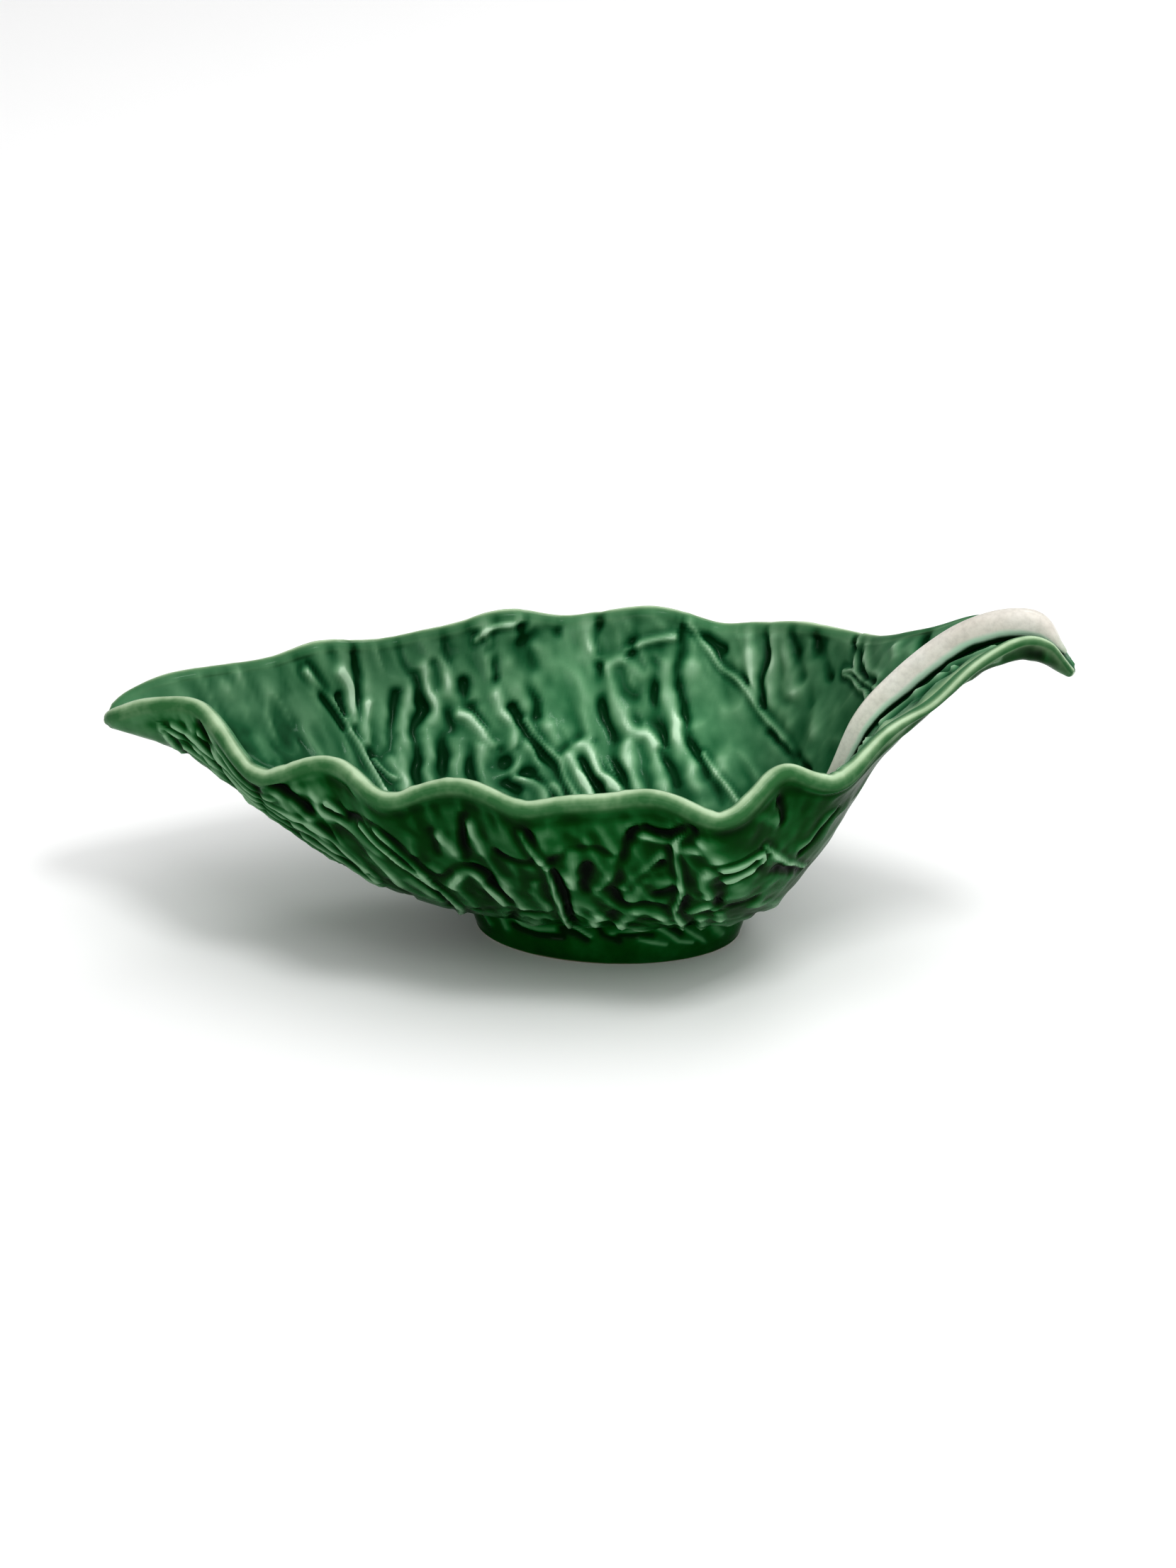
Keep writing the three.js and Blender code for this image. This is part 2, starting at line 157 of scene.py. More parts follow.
# ---- moulded relief
# Each stroke is (half width mm, height mm, [(x mm, per cent of the way up the wall), ...]); a negative
# height is a groove. The outer strokes are drawn for the -Y wall and the inner ones for the
# +Y wall; the opposite walls carry the same strokes mirrored, the outer ones moved along a little.
OUTER = [
    # thin raised veins
    (0.8, 0.9, [(-10, 93), (-7.5, 84), (-5, 78), (-4, 60), (-3.5, 45), (-4.5, 27), (-9, 10)]),
    (0.8, 0.9, [(30, 95), (26, 89), (26.2, 75), (25, 63), (23.5, 55), (24, 42), (22.5, 20)]),
    (0.7, 0.6, [(44, 81), (46.5, 68), (49.5, 52), (50.5, 42)]),
    (0.9, 0.9, [(-46, 87), (-42, 80), (-38, 70), (-34, 58), (-31, 48), (-30, 36), (-35, 10)]),
    (0.9, 0.7, [(-107, 80), (-104.5, 55), (-103, 30)]),
    (1.3, 0.9, [(50.5, 66), (53, 64), (56, 70), (58, 74)]),
    (0.7, 0.8, [(-50, 84), (-46, 79), (-43.5, 76.5), (-40, 70), (-37.5, 65.5), (-33, 55)]),
    # fine lines running along the pouring end
    (0.7, 0.7, [(-106, 78), (-98, 68), (-90, 62), (-80, 60), (-70, 57), (-60, 50), (-50, 40)]),
    (0.7, 0.7, [(-103, 84), (-95, 75), (-86, 71), (-76, 69), (-67, 65), (-59, 57), (-50, 47)]),
    (0.7, 0.7, [(-95, 87), (-86, 80), (-77, 78), (-68, 73), (-60, 66), (-52, 55)]),
    (0.7, 0.6, [(-101, 60), (-92, 52), (-82, 50), (-70, 48), (-60, 42)]),
    (0.7, 0.6, [(-88, 90), (-80, 86), (-74, 85)]),
    # crests between the veins
    (1.5, 1.1, [(9, 38), (11, 50), (14, 55.5), (18, 55), (21.5, 46)]),
    (1.0, 1.0, [(14.5, 93), (12, 87), (10, 83), (9.5, 77), (7.3, 70)]),
    (1.2, 0.9, [(22.5, 84.5), (20, 79), (16, 75.5), (12, 70)]),
    (1.0, 0.8, [(16, 90.5), (20, 89.5), (24.5, 89.5)]),
    (1.2, 0.9, [(28, 88), (31, 89)]),
    (1.1, 0.9, [(33, 80), (31.5, 72), (31, 65)]),
    (1.1, 0.8, [(26.5, 55), (31, 59)]),
    (1.3, 1.0, [(28.5, 49), (28.5, 40), (27, 27)]),
    (1.0, 0.7, [(32.5, 56), (33, 45)]),
    (0.8, 1.0, [(36, 81.2), (40, 80.5), (43.2, 79), (42.6, 75.5), (39, 75.7), (36, 75)]),
    (1.2, 0.9, [(-16, 71), (-13.5, 62), (-12.5, 55)]),
    (1.0, 0.7, [(-9, 71), (-7.3, 60), (-7, 55)]),
    (1.4, 1.0, [(-29, 62), (-26.5, 70), (-23, 72), (-20.5, 67), (-17.5, 56)]),
    (2.2, 0.9, [(-11, 46), (-12, 36), (-14, 25)]),
    (1.3, 0.8, [(5, 52), (3, 40), (1, 27)]),
    (1.2, 0.9, [(44, 94), (46.5, 87)]),
    (1.5, 0.8, [(-48, 69), (-45.5, 62), (-43.5, 55)]),
    (1.3, 0.8, [(-41, 61), (-37.5, 55), (-35.5, 50)]),
    (1.6, 0.8, [(-31, 86), (-27, 80)]),
    (1.4, 0.8, [(-22, 90), (-20, 82)]),
    (0.8, 0.8, [(-59, 86.5), (-55, 84)]),
    (1.8, 0.8, [(-63, 82), (-56, 80), (-51, 77), (-47, 74)]),
    (1.4, 0.7, [(-34, 72), (-32.5, 70)]),
    (1.6, 0.8, [(2, 84), (0.5, 77), (-0.5, 70)]),
    (1.4, 0.7, [(16, 70), (14, 64)]),
    (1.6, 0.6, [(18, 73), (23, 73)]),
    (1.8, 0.7, [(-5, 87), (-2, 86)]),
    (2.0, 0.7, [(37, 73), (38, 64)]),
    (1.5, 0.7, [(33, 92), (35, 86)]),
    (1.3, 0.7, [(-68, 93), (-63, 89), (-60, 87)]),
    (1.5, 0.7, [(-69, 84), (-64, 70), (-60, 55)]),
    (1.4, 0.6, [(-73, 90), (-70, 75), (-68, 60)]),
    (1.3, 0.7, [(-90, 92), (-86, 72), (-83, 50)]),
    (1.4, 0.6, [(-97, 85), (-93, 65), (-91, 45)]),
    (1.5, 0.7, [(-57, 66), (-52, 56), (-50, 44)]),
    (1.8, 0.8, [(14, 38), (14, 25), (11, 12)]),
    (1.6, 0.8, [(32, 38), (33.5, 25), (31, 12)]),
    (1.5, 0.7, [(40, 50), (43, 38), (42, 20)]),
    # grooves where the glaze pools
    (1.1, -1.3, [(51, 60), (53.5, 59.5), (56.5, 65), (59, 69)]),
    (1.3, -1.6, [(99, 82), (103, 84), (106, 84)]),
    (1.4, -1.5, [(15.2, 92), (12.5, 86), (11.3, 80), (10.2, 73), (10.6, 66), (12, 60)]),
    (1.0, -1.2, [(21, 58.5), (17, 60.5), (12.5, 59)]),
    (0.9, -1.0, [(13, 71), (17, 76), (22.5, 81)]),
    (0.9, -1.1, [(-5, 81), (-2, 83.5), (1, 85.5), (6, 86), (10, 84)]),
    (1.3, -1.1, [(3.5, 79), (3.5, 68)]),
    (1.0, -1.3, [(26, 64), (26.2, 55)]),
    (0.9, -1.0, [(34.3, 71), (33.5, 60)]),
    (0.9, -1.0, [(33, 54.5), (28, 53)]),
    (1.0, -1.2, [(8.6, 54), (7.8, 42), (6, 28)]),
    (1.1, -1.3, [(-19, 68), (-16, 60), (-14.5, 52.5), (-9, 51)]),
    (0.9, -1.0, [(48, 94), (48, 85)]),
    (0.8, -1.0, [(-15, 50), (-17, 40), (-18, 26)]),
    (0.9, -1.1, [(-4, 78), (-2.4, 66), (-2.2, 55), (-1.8, 42)]),
    (0.9, -1.2, [(27.2, 50), (26, 38), (25, 25)]),
    (1.4, -1.1, [(15, 50), (17, 50)]),
    (1.7, -1.7, [(-72, 97), (-68.5, 90), (-66, 83), (-65.3, 80)]),
    (1.0, -1.0, [(-100, 72), (-92, 65), (-84, 65), (-74, 63), (-66, 60), (-57, 50)]),
    (1.0, -1.0, [(-96, 80), (-88, 76), (-78, 73.5), (-70, 69), (-62, 61), (-55, 52)]),
    (0.9, -0.9, [(-96, 50), (-84, 45), (-72, 43)]),
    (0.9, -1.2, [(-60, 85), (-57, 83), (-52, 86.2), (-48, 88.3), (-44, 85), (-40.5, 77), (-38.5, 70)]),
    (1.2, -1.1, [(-24, 93), (-24.6, 85), (-24.6, 78)]),
    (2.2, -0.9, [(-63, 70), (-57, 74), (-51, 70)]),
    (1.0, -1.2, [(-38, 75.5), (-34.5, 68), (-31, 68), (-26, 74.5), (-21, 73), (-18, 66)]),
    (1.2, -1.0, [(-71, 66), (-69.5, 55)]),
    (0.9, -1.1, [(-35, 56), (-33, 49), (-31.8, 40)]),
    (1.1, -1.1, [(-24, 45), (-19, 52)]),
    (1.1, -1.0, [(-33, 88), (-31, 79)]),
    (1.0, -1.0, [(42, 75), (45, 65), (47.5, 55), (50, 40)]),
    (1.0, -0.9, [(36, 56), (40, 55)]),
    (0.7, -0.9, [(36, 78.5), (41, 78.3)]),
    (0.9, -0.9, [(-9, 93), (-8, 87), (-8.5, 82), (-16, 83)]),
    (1.0, -0.9, [(18, 93), (23, 91.5), (31, 95)]),
    (1.2, -0.8, [(20, 66), (24, 68)]),
    (1.0, -0.9, [(-106, 80), (-102.5, 55), (-101, 35)]),
    (1.0, -0.8, [(-94, 95), (-89, 70), (-87, 48)]),
    (1.0, -0.8, [(-78, 93), (-77, 75), (-79, 55)]),
    (1.2, -0.9, [(-46, 52), (-43, 42), (-45, 25)]),
    (1.0, -0.8, [(20, 40), (18, 25), (16, 12)]),
    (1.0, -0.8, [(38, 42), (39, 28), (36, 12)]),
]
INNER = [
    # thin raised veins
    (0.8, 0.7, [(13, 101), (22, 90.5), (30, 83), (36, 73), (42, 63), (45.5, 54), (48.5, 42), (50, 32)]),
    (1.2, 1.0, [(50, 32), (52, 20), (53, 10)]),
    (0.8, 0.8, [(-26, 69), (-21, 62), (-16, 56.5), (-13.5, 49), (-9, 41)]),
    (1.2, 1.0, [(-9, 41), (0, 20), (6, 8)]),
    (0.8, 0.9, [(-79, 92), (-75.5, 81), (-72, 72), (-69, 63), (-66, 55), (-62, 44), (-59, 35)]),
    (1.2, 1.0, [(-59, 35), (-50, 16), (-43, 6)]),
    (0.8, 0.8, [(57.5, 81.5), (60, 78), (63, 67), (65, 58), (66.5, 42), (67, 20)]),
    (0.7, 0.8, [(20.5, 60), (24, 54), (28, 48), (31, 42)]),
    (0.8, 0.7, [(0, 90.5), (5, 93), (11, 95)]),
    (0.7, 0.8, [(-62, 50), (-59, 45), (-57, 43)]),
    (0.9, 1.0, [(57.7, 83), (60.4, 82), (62.9, 75), (65.4, 65), (68.2, 50), (69, 40)]),
    (0.9, 0.9, [(61.5, 101), (60.6, 90), (61, 82)]),
    # broad crests
    (1.5, 1.0, [(63.8, 101), (64.7, 82), (66.8, 70), (68.5, 62)]),
    (1.6, 1.3, [(-5.3, 85), (-3.5, 77), (0, 69), (3, 65.5), (6, 64.5), (8.3, 60), (10, 53), (12, 45)]),
    (1.2, 0.9, [(-5, 86.5), (-1, 87), (4, 83)]),
    (1.5, 1.1, [(10, 101), (9.3, 85), (10, 77), (13, 70), (15, 62), (18.5, 55), (20.5, 48)]),
    (1.2, 1.6, [(-10.5, 61.5), (-8.5, 60), (-5, 54), (-2.5, 49), (0, 44), (6, 30)]),
    (1.3, 1.3, [(-13.5, 57), (-11, 53), (-8, 48), (-5.5, 43), (0, 30)]),
    (1.2, 1.3, [(-26, 49), (-22.5, 48.5), (-20, 45), (-17, 38), (-10, 22)]),
    (1.1, 1.0, [(-17, 47), (-13.5, 43), (-6, 26)]),
    (1.1, 1.0, [(-33.5, 78), (-31.5, 72), (-28.5, 67), (-28, 62)]),
    (1.5, 1.0, [(31, 101), (32.5, 87), (33.5, 81)]),
    (1.8, 1.0, [(40, 101), (39, 88), (37.5, 78)]),
    (1.2, 1.3, [(-72, 88.5), (-70, 82), (-68.7, 74), (-67.5, 68)]),
    (1.0, 1.2, [(-65.3, 76), (-65, 66), (-64, 57)]),
    (1.0, 0.9, [(-79, 90), (-77.3, 82)]),
    (1.4, 1.2, [(-52, 90), (-50, 82), (-48, 75), (-49, 70), (-50.5, 67), (-49.5, 58), (-49, 45),
                (-42, 20)]),
    (1.4, 0.9, [(-54.5, 80), (-55.5, 66), (-55.5, 50), (-50, 28)]),
    (1.0, 1.3, [(-42, 73), (-39, 71.5), (-36, 67), (-33, 62)]),
    (1.3, 1.0, [(-37, 101), (-34.5, 90), (-33.8, 85)]),
    (1.3, 0.8, [(-46.5, 90), (-45.5, 80)]),
    (1.3, 1.0, [(1, 62), (3, 53), (5, 46), (10, 30)]),
    (1.9, 0.9, [(42, 101), (44.5, 80)]),
    (1.2, 0.8, [(-20, 67), (-17, 62)]),
    (2.2, 0.8, [(-24, 59), (-27, 53)]),
    (1.6, 0.8, [(15, 88), (15.5, 80)]),
    (1.6, 0.8, [(-41, 60), (-41.5, 50), (-36, 30)]),
    (1.6, 0.8, [(-36, 60), (-35.5, 50), (-28, 30)]),
    (1.4, 0.7, [(-43, 90), (-41, 86)]),
    (1.5, 0.7, [(25, 58), (26, 55)]),
    (1.6, 0.7, [(42, 73), (43, 69)]),
    (1.8, 0.7, [(50, 70), (51, 60)]),
    (1.8, 0.7, [(-82, 74), (-79, 62), (-78, 50), (-68, 25)]),
    (2.0, 0.6, [(-92, 62), (-91, 45), (-86, 25)]),
    (1.8, 0.6, [(-98, 80), (-96, 60)]),
    (1.6, 0.6, [(-30, 86), (-28, 80)]),
    (1.4, 0.8, [(-11, 101), (-9, 92)]),
    (1.7, 0.8, [(22, 40), (28, 20)]),
    (1.6, 0.8, [(36, 40), (40, 18)]),
    (1.4, 0.8, [(72, 90), (73, 75)]),
    (0.8, 0.8, [(-38, 96), (-34, 98.5), (-30, 99), (-28, 101)]),
    (1.0, 0.8, [(38.4, 101), (39, 88)]),
    # grooves
    (1.4, -1.5, [(-28, 93), (-25, 95.5), (-20, 97.5)]),
    (1.5, -1.4, [(-28.5, 97), (-26.5, 90), (-25, 85)]),
    (1.1, -1.3, [(0.5, 101), (0.8, 93), (0.5, 86)]),
    (1.3, -1.4, [(10.5, 101), (9.8, 95), (9.6, 90)]),
    (1.2, -1.2, [(15, 98), (20, 96.5), (24, 94)]),
    (1.0, -1.1, [(-58, 101), (-57, 94), (-55, 88)]),
    (1.2, -1.0, [(50, 101), (51, 92), (53, 82)]),
    (1.1, -1.4, [(-39.5, 101), (-37, 96.5), (-35, 92)]),
    (1.6, -1.3, [(1.5, 76), (4, 70), (8, 68)]),
    (1.2, -1.2, [(-58, 80), (-59, 66), (-58.5, 55)]),
    (1.0, -1.1, [(62.7, 92), (63.3, 82), (65.2, 71), (67.5, 60)]),
    (1.2, -1.4, [(-7.5, 86), (-7, 80), (-5.2, 70), (-3, 64), (-1, 57), (1, 48), (6, 36)]),
    (1.5, -1.1, [(1, 78), (2.8, 72), (5, 68), (8.5, 65)]),
    (1.0, -1.0, [(10, 60), (12.5, 56), (15.5, 50)]),
    (1.1, -1.2, [(7, 87), (6.4, 78), (8.5, 71), (11, 63)]),
    (1.1, -1.2, [(13, 101), (12.7, 87), (13.5, 77), (16, 67), (20, 58), (24, 50), (30, 36)]),
    (0.9, -1.9, [(-10, 57), (-7.5, 53), (-5, 48), (-3.5, 44), (2, 32)]),
    (0.7, -1.2, [(-7.5, 62), (-3.5, 54), (0.3, 47)]),
    (1.0, -1.2, [(-29, 73.5), (-25.5, 66.5), (-20.5, 59), (-16.5, 54), (-14, 47), (-9, 35)]),
    (2.0, -1.7, [(-32, 56), (-30.5, 55.5)]),
    (1.5, -1.3, [(-24, 51.7), (-22.5, 51.7)]),
    (1.5, -1.2, [(-28.5, 48), (-25, 45.5)]),
    (0.9, -1.2, [(-20.5, 50), (-17.5, 45), (-15, 40)]),
    (1.0, -1.5, [(-69.2, 101), (-68.6, 88), (-67.7, 78), (-66.5, 68), (-64, 57), (-60.5, 47),
                (-50, 25)]),
    (1.3, -1.6, [(-73.3, 101), (-73.6, 91)]),
    (1.0, -1.3, [(-80, 101), (-76.5, 83), (-73, 72), (-70, 63)]),
    (0.8, -1.0, [(-72.3, 78), (-70.5, 70)]),
    (1.3, -1.5, [(-54, 88), (-52, 79), (-51, 73), (-53, 66), (-52, 58), (-52, 45), (-47, 28)]),
    (1.1, -1.0, [(-50, 90), (-48.5, 82)]),
    (1.2, -1.4, [(-41.4, 84), (-41.2, 77), (-39, 74.5)]),
    (1.2, -1.4, [(-44.5, 74), (-44, 67), (-45.3, 61), (-44.6, 48), (-38, 28)]),
    (0.8, -1.2, [(-38, 73), (-36, 69), (-33.5, 64), (-31.5, 60)]),
    (1.3, -1.0, [(-39, 63), (-38, 53), (-34, 40)]),
    (0.9, -1.1, [(-35, 66), (-32, 61)]),
    (1.0, -1.1, [(-34.8, 101), (-33.5, 83)]),
    (1.1, -0.9, [(-28.5, 92), (-26.5, 83), (-24, 76), (-23, 71)]),
    (1.1, -1.2, [(37, 101), (36.6, 88), (35.4, 77)]),
    (1.3, -1.1, [(44.5, 101), (46, 88), (48.5, 73)]),
    (0.9, -1.0, [(37.5, 68), (43, 60), (46.5, 52), (49.5, 42), (53, 25)]),
    (0.8, -0.7, [(17, 101), (25, 90), (31, 83)]),
    (1.0, -1.0, [(-7.5, 101), (-7.3, 91)]),
    (1.2, -1.0, [(1.2, 101), (1.4, 93)]),
    (1.2, -0.8, [(-14, 62), (-12, 64)]),
    (1.8, -0.7, [(-83, 75), (-81.5, 62), (-80.5, 48)]),
    (1.8, -0.7, [(-95, 66), (-93, 55), (-92.5, 42)]),
    (1.1, -1.0, [(60.5, 101), (62, 85), (65, 70), (68, 52)]),
    (1.0, -0.9, [(-57.5, 62), (-60, 52)]),
    (1.2, -0.8, [(-47, 101), (-45.5, 92)]),
    (1.4, -0.9, [(78, 90), (79, 60)]),
    (1.2, -0.9, [(30, 34), (36, 15)]),
    (1.2, -0.9, [(14, 40), (20, 18)]),
]

# folds of the narrow trough on the -Y side of the stalk
TROUGH = [
    (0.9, 1.3, [(72, 34), (76, 36), (80, 42), (84, 50), (88, 62)]),
    (1.0, 1.2, [(84, 30), (88, 38), (92, 50), (96, 62)]),
    (1.3, -2.2, [(72, 12), (76, 16), (80, 22), (84, 26)]),
    (0.9, -1.8, [(74, 52), (78, 55), (82, 60), (86, 58)]),
    (1.8, -2.4, [(86, 24), (90, 30), (95, 38), (99, 42), (103, 42)]),
]


def value_noise(u, v, seed):
    """Smooth noise, -1..1, one bump per unit."""
    lattice = np.random.default_rng(seed).uniform(-1, 1, (256, 256))
    i = np.floor(u).astype(int)
    j = np.floor(v).astype(int)
    f = u - i
    g = v - j
    f = f * f * (3 - 2 * f)
    g = g * g * (3 - 2 * g)
    a = lattice[i % 256, j % 256]
    b = lattice[(i + 1) % 256, j % 256]
    c = lattice[i % 256, (j + 1) % 256]
    d = lattice[(i + 1) % 256, (j + 1) % 256]
    return (a * (1 - f) + b * f) * (1 - g) + (c * (1 - f) + d * f) * g


def blur(field, reach):
    """Soften a grid over a number of cells each way."""
    k = np.arange(-2 * reach, 2 * reach + 1)
    w = np.exp(-(k / reach) ** 2)
    w /= w.sum()
    pad = 2 * reach
    wide = np.pad(field, pad, mode="edge")
    wide = sum(w[n] * wide[n:n + field.shape[0]] for n in range(len(k)))
    return sum(w[n] * wide[:, n:n + field.shape[1]] for n in range(len(k)))


def sharpen(relief):
    """Tighten the crests and grooves of a relief."""
    return relief + SHARPNESS * (relief - blur(relief, 2))


def square_distance(px, py, points, scale_x, scale_y):
    """Squared distance of places px, py from a line through points, which are scaled to mm first."""
    best = np.full(px.shape, 1e9)
    for a, b in zip(points[:-1], points[1:]):
        x = px - a[0] * scale_x
        y = py - a[1] * scale_y
        dx = (b[0] - a[0]) * scale_x
        dy = (b[1] - a[1]) * scale_y
        k = np.clip((x * dx + y * dy) / (dx * dx + dy * dy + 1e-9), 0, 1)
        best = np.minimum(best, (x - k * dx) ** 2 + (y - k * dy) ** 2)
    return best


def draw_strokes(strokes, stretch, arc, shift, seed, spread, strength):
    """Height of the strokes, in mm, over one side of the leaf's grid.

    stretch is mm along the wall for each mm of x, and arc the mm from the centre line to the rim of each
    row. shift moves the strokes along x.
    """
    crest = np.zeros((len(LABEL), len(UP)))
    groove = np.zeros_like(crest)
    vein = np.zeros_like(crest)
    grid_x = LABEL[:, None] + np.zeros_like(crest)
    grid_v = UP[None] * arc[:, None]
    bend_x = 0.75 * value_noise(grid_x / 6.0, grid_v / 6.0, seed)
    bend_x += 0.3 * value_noise(grid_x / 2.4, grid_v / 2.4, seed + 5)
    bend_v = 0.75 * value_noise(grid_x / 6.0 + 50, grid_v / 6.0, seed + 1)
    for width, height, points in strokes:
        pts = np.array(points, float)
        pts[:, 0] += shift
        pts[:, 1] /= 100
        thin = height > 0 and width < 0.95
        if not thin:
            width = width * spread
            height = height * strength
        if len(pts) > 2:
            pts = smooth_rows(pts, np.linspace(0, len(pts) - 1, 4 * len(pts) - 3))
        reach = 3.4 * width + 1
        rows = np.where((LABEL > pts[:, 0].min() - reach) & (LABEL < pts[:, 0].max() + reach))[0]
        if not len(rows):
            continue
        r = slice(rows[0], rows[-1] + 1)
        margin = reach / max(8.0, arc[r].min())
        cols = np.where((UP > pts[:, 1].min() - margin) & (UP < pts[:, 1].max() + margin))[0]
        if not len(cols):
            continue
        c = slice(cols[0], cols[-1] + 1)
        gx = stretch[r, c]
        gy = arc[r][:, None] * np.ones_like(gx)
        bend = 0.35 if thin else 1.0
        px = (grid_x[r, c] + bend * bend_x[r, c]) * gx
        py = grid_v[r, c] + bend * bend_v[r, c]
        best = square_distance(px, py, pts, gx, gy)
        if thin:
            d = np.sqrt(best)
            side = np.exp(-((d - 2.1 * width) / (1.1 * width)) ** 2)
            here = 0.8 * height * (np.exp(-best / (width * width)) - 0.3 * side)
            vein[r, c] = np.where(np.abs(here) > np.abs(vein[r, c]), here, vein[r, c])
        else:
            target = crest if height > 0 else groove
            target[r, c] += (abs(height) * np.exp(-best / (width * width))) ** 3
    crest_patch = 0.85 + 0.45 * value_noise(grid_x / 4.5, grid_v / 4.5 + 20, seed + 2)
    groove_patch = 0.8 + 0.75 * value_noise(grid_x / 5.5 + 20, grid_v / 5.5, seed + 3)
    return crest_patch * np.cbrt(crest) - groove_patch * np.cbrt(groove) + vein


# ---- the leaf's grid
def cross_lines():
    """Places along the leaf: fine over the bowl, a little coarser over the two ends."""
    fine = np.linspace(0, LAST, 6001)
    spot = smooth_rows(STATIONS, fine)
    length = np.concatenate([[0], np.cumsum(np.hypot(np.diff(spot[:, 0]), np.diff(spot[:, 1])))])
    middle = (spot[1:, 0] + spot[:-1, 0]) / 2
    step = np.where((middle > -82) & (middle < 108), 0.8, 1.3)
    count = np.concatenate([[0], np.cumsum(np.diff(length) / step)])
    n = int(round(count[-1]))
    return np.interp(np.linspace(0, count[-1], n + 1), count, fine)


AT = cross_lines()
UP = np.concatenate([np.linspace(0, 0.34, 24)[:-1], np.linspace(0.34, 1, 73)])
T = np.concatenate([-UP[::-1], UP[1:]])
SPINE_COLUMN = len(UP) - 1
GRID_AT = AT[:, None] * np.ones(len(T))[None]
GRID_T = np.ones(len(AT))[:, None] * T[None]
MIDDLE = wall_middle(GRID_AT, GRID_T)
NORMAL = wall_normal(GRID_AT, GRID_T)
HALF = half_wall(AT)[:, None]
ROW = smooth_rows(STATIONS, AT)
LABEL = 0.3 * ROW[:, 0] + 0.7 * ROW[:, 2]
along_step = np.linalg.norm(np.gradient(MIDDLE, axis=0), axis=-1)
STRETCH = along_step / np.abs(np.gradient(LABEL))[:, None]
over_step = np.linalg.norm(np.diff(MIDDLE, axis=1), axis=-1)
ARC_FAR = over_step[:, SPINE_COLUMN:].sum(1)
ARC_NEAR = over_step[:, :SPINE_COLUMN].sum(1)


def relief_grid(near_strokes, far_strokes, far_shift, seed, rough, spread, strength, rim_fade, rim_left):
    """Relief in mm over the whole grid, faded towards the rim, and the same without that fade.

    The fade takes the last share rim_fade of the wall and leaves the share rim_left of the relief.
    rough scales the fine creases between the strokes; spread and strength widen and scale the strokes.
    """
    near = draw_strokes(near_strokes, STRETCH[:, SPINE_COLUMN::-1], ARC_NEAR, 0, seed + 7, spread, strength)
    far = draw_strokes(far_strokes, STRETCH[:, SPINE_COLUMN:], ARC_FAR, far_shift, seed + 8, spread, strength)
    field = np.concatenate([near[:, ::-1], far[:, 1:]], 1)
    arc = np.where(T[None] < 0, ARC_NEAR[:, None], ARC_FAR[:, None])
    v = np.abs(T)[None] * arc
    x = LABEL[:, None] * np.ones_like(v)
    side = np.sign(T)[None] * 40.0
    cross = (x + 0.42 * v) / 1.085
    run = (v - 0.42 * x) / 1.085 + side
    wide = value_noise(cross / 7.0, run / 17.0 + 9, seed)
    fold = 1 - 2.4 * np.abs(value_noise(cross / 5.0 + 3, run / 13.0, seed + 1))
    fine = value_noise(cross / 2.1, run / 3.4, seed + 2)
    field = field + rough * (0.35 * wide + 0.3 * np.clip(fold, -1, 1) + 0.16 * fine)
    fade = np.clip((1.0 - np.abs(T)) / rim_fade, 0, 1)[None]
    fade = rim_left + (1 - rim_left) * fade * fade * (3 - 2 * fade)
    ends = np.clip(np.minimum((LABEL + 122) / 22, (112 - LABEL) / 8), 0, 1)[:, None]
    return sharpen(field * fade * ends), sharpen(field * ends)


OUTER_RELIEF = relief_grid(OUTER, OUTER, far_shift=5, seed=11, rough=0.75, spread=1.25, strength=0.78,
                           rim_fade=0.035, rim_left=0.1)[0]
INNER_RELIEF, INNER_TONE = relief_grid(INNER + TROUGH, INNER, far_shift=0, seed=23, rough=0.8, spread=1.4,
                                       strength=0.8, rim_fade=0.02, rim_left=0.25)
# the midrib stands out under the leaf and along the floor; inside the neck the stalk covers it
midrib = np.exp(-(np.abs(T)[None] * ARC_FAR[:, None] / 2.2) ** 2)
OUTER_RELIEF = OUTER_RELIEF * (1 - 0.6 * midrib) + 0.7 * midrib * between(LABEL, -122, -112)[:, None]
neck_inside = np.exp(-(np.abs(T)[None] * ARC_FAR[:, None] / 4.2) ** 4) * (LABEL > 40)[:, None]
smoothed = (1 - 0.9 * midrib) * (1 - 0.8 * neck_inside)
floor_rib = midrib * (between(LABEL, -112, -72) * between(LABEL, 12, -4))[:, None]
INNER_RELIEF = INNER_RELIEF * smoothed + 0.75 * floor_rib
INNER_TONE = INNER_TONE * smoothed + 0.75 * floor_rib


def make_object(name, points_mm, faces, attributes, material):
    """A smooth mesh object in the row frame from points in the leaf's frame, in millimetres."""
    mesh = bpy.data.meshes.new(name)
    co = (np.asarray(points_mm) + SHIFT) / 1000.0
    quads = np.asarray(faces, np.int32)
    sides = quads.shape[1]
    mesh.vertices.add(len(co))
    mesh.vertices.foreach_set("co", co.astype(np.float32).ravel())
    mesh.loops.add(quads.size)
    mesh.loops.foreach_set("vertex_index", quads.ravel())
    mesh.polygons.add(len(quads))
    mesh.polygons.foreach_set("loop_start", np.arange(0, quads.size, sides, dtype=np.int32))
    mesh.polygons.foreach_set("use_smooth", np.ones(len(quads), bool))
    mesh.update(calc_edges=True)
    mesh.validate()
    for key, values in attributes.items():
        layer = mesh.attributes.new(key, "FLOAT", "POINT")
        layer.data.foreach_set("value", np.asarray(values, np.float32).ravel())
    obj = bpy.data.objects.new(name, mesh)
    bpy.context.scene.collection.objects.link(obj)
    mesh.materials.append(material)
    return obj


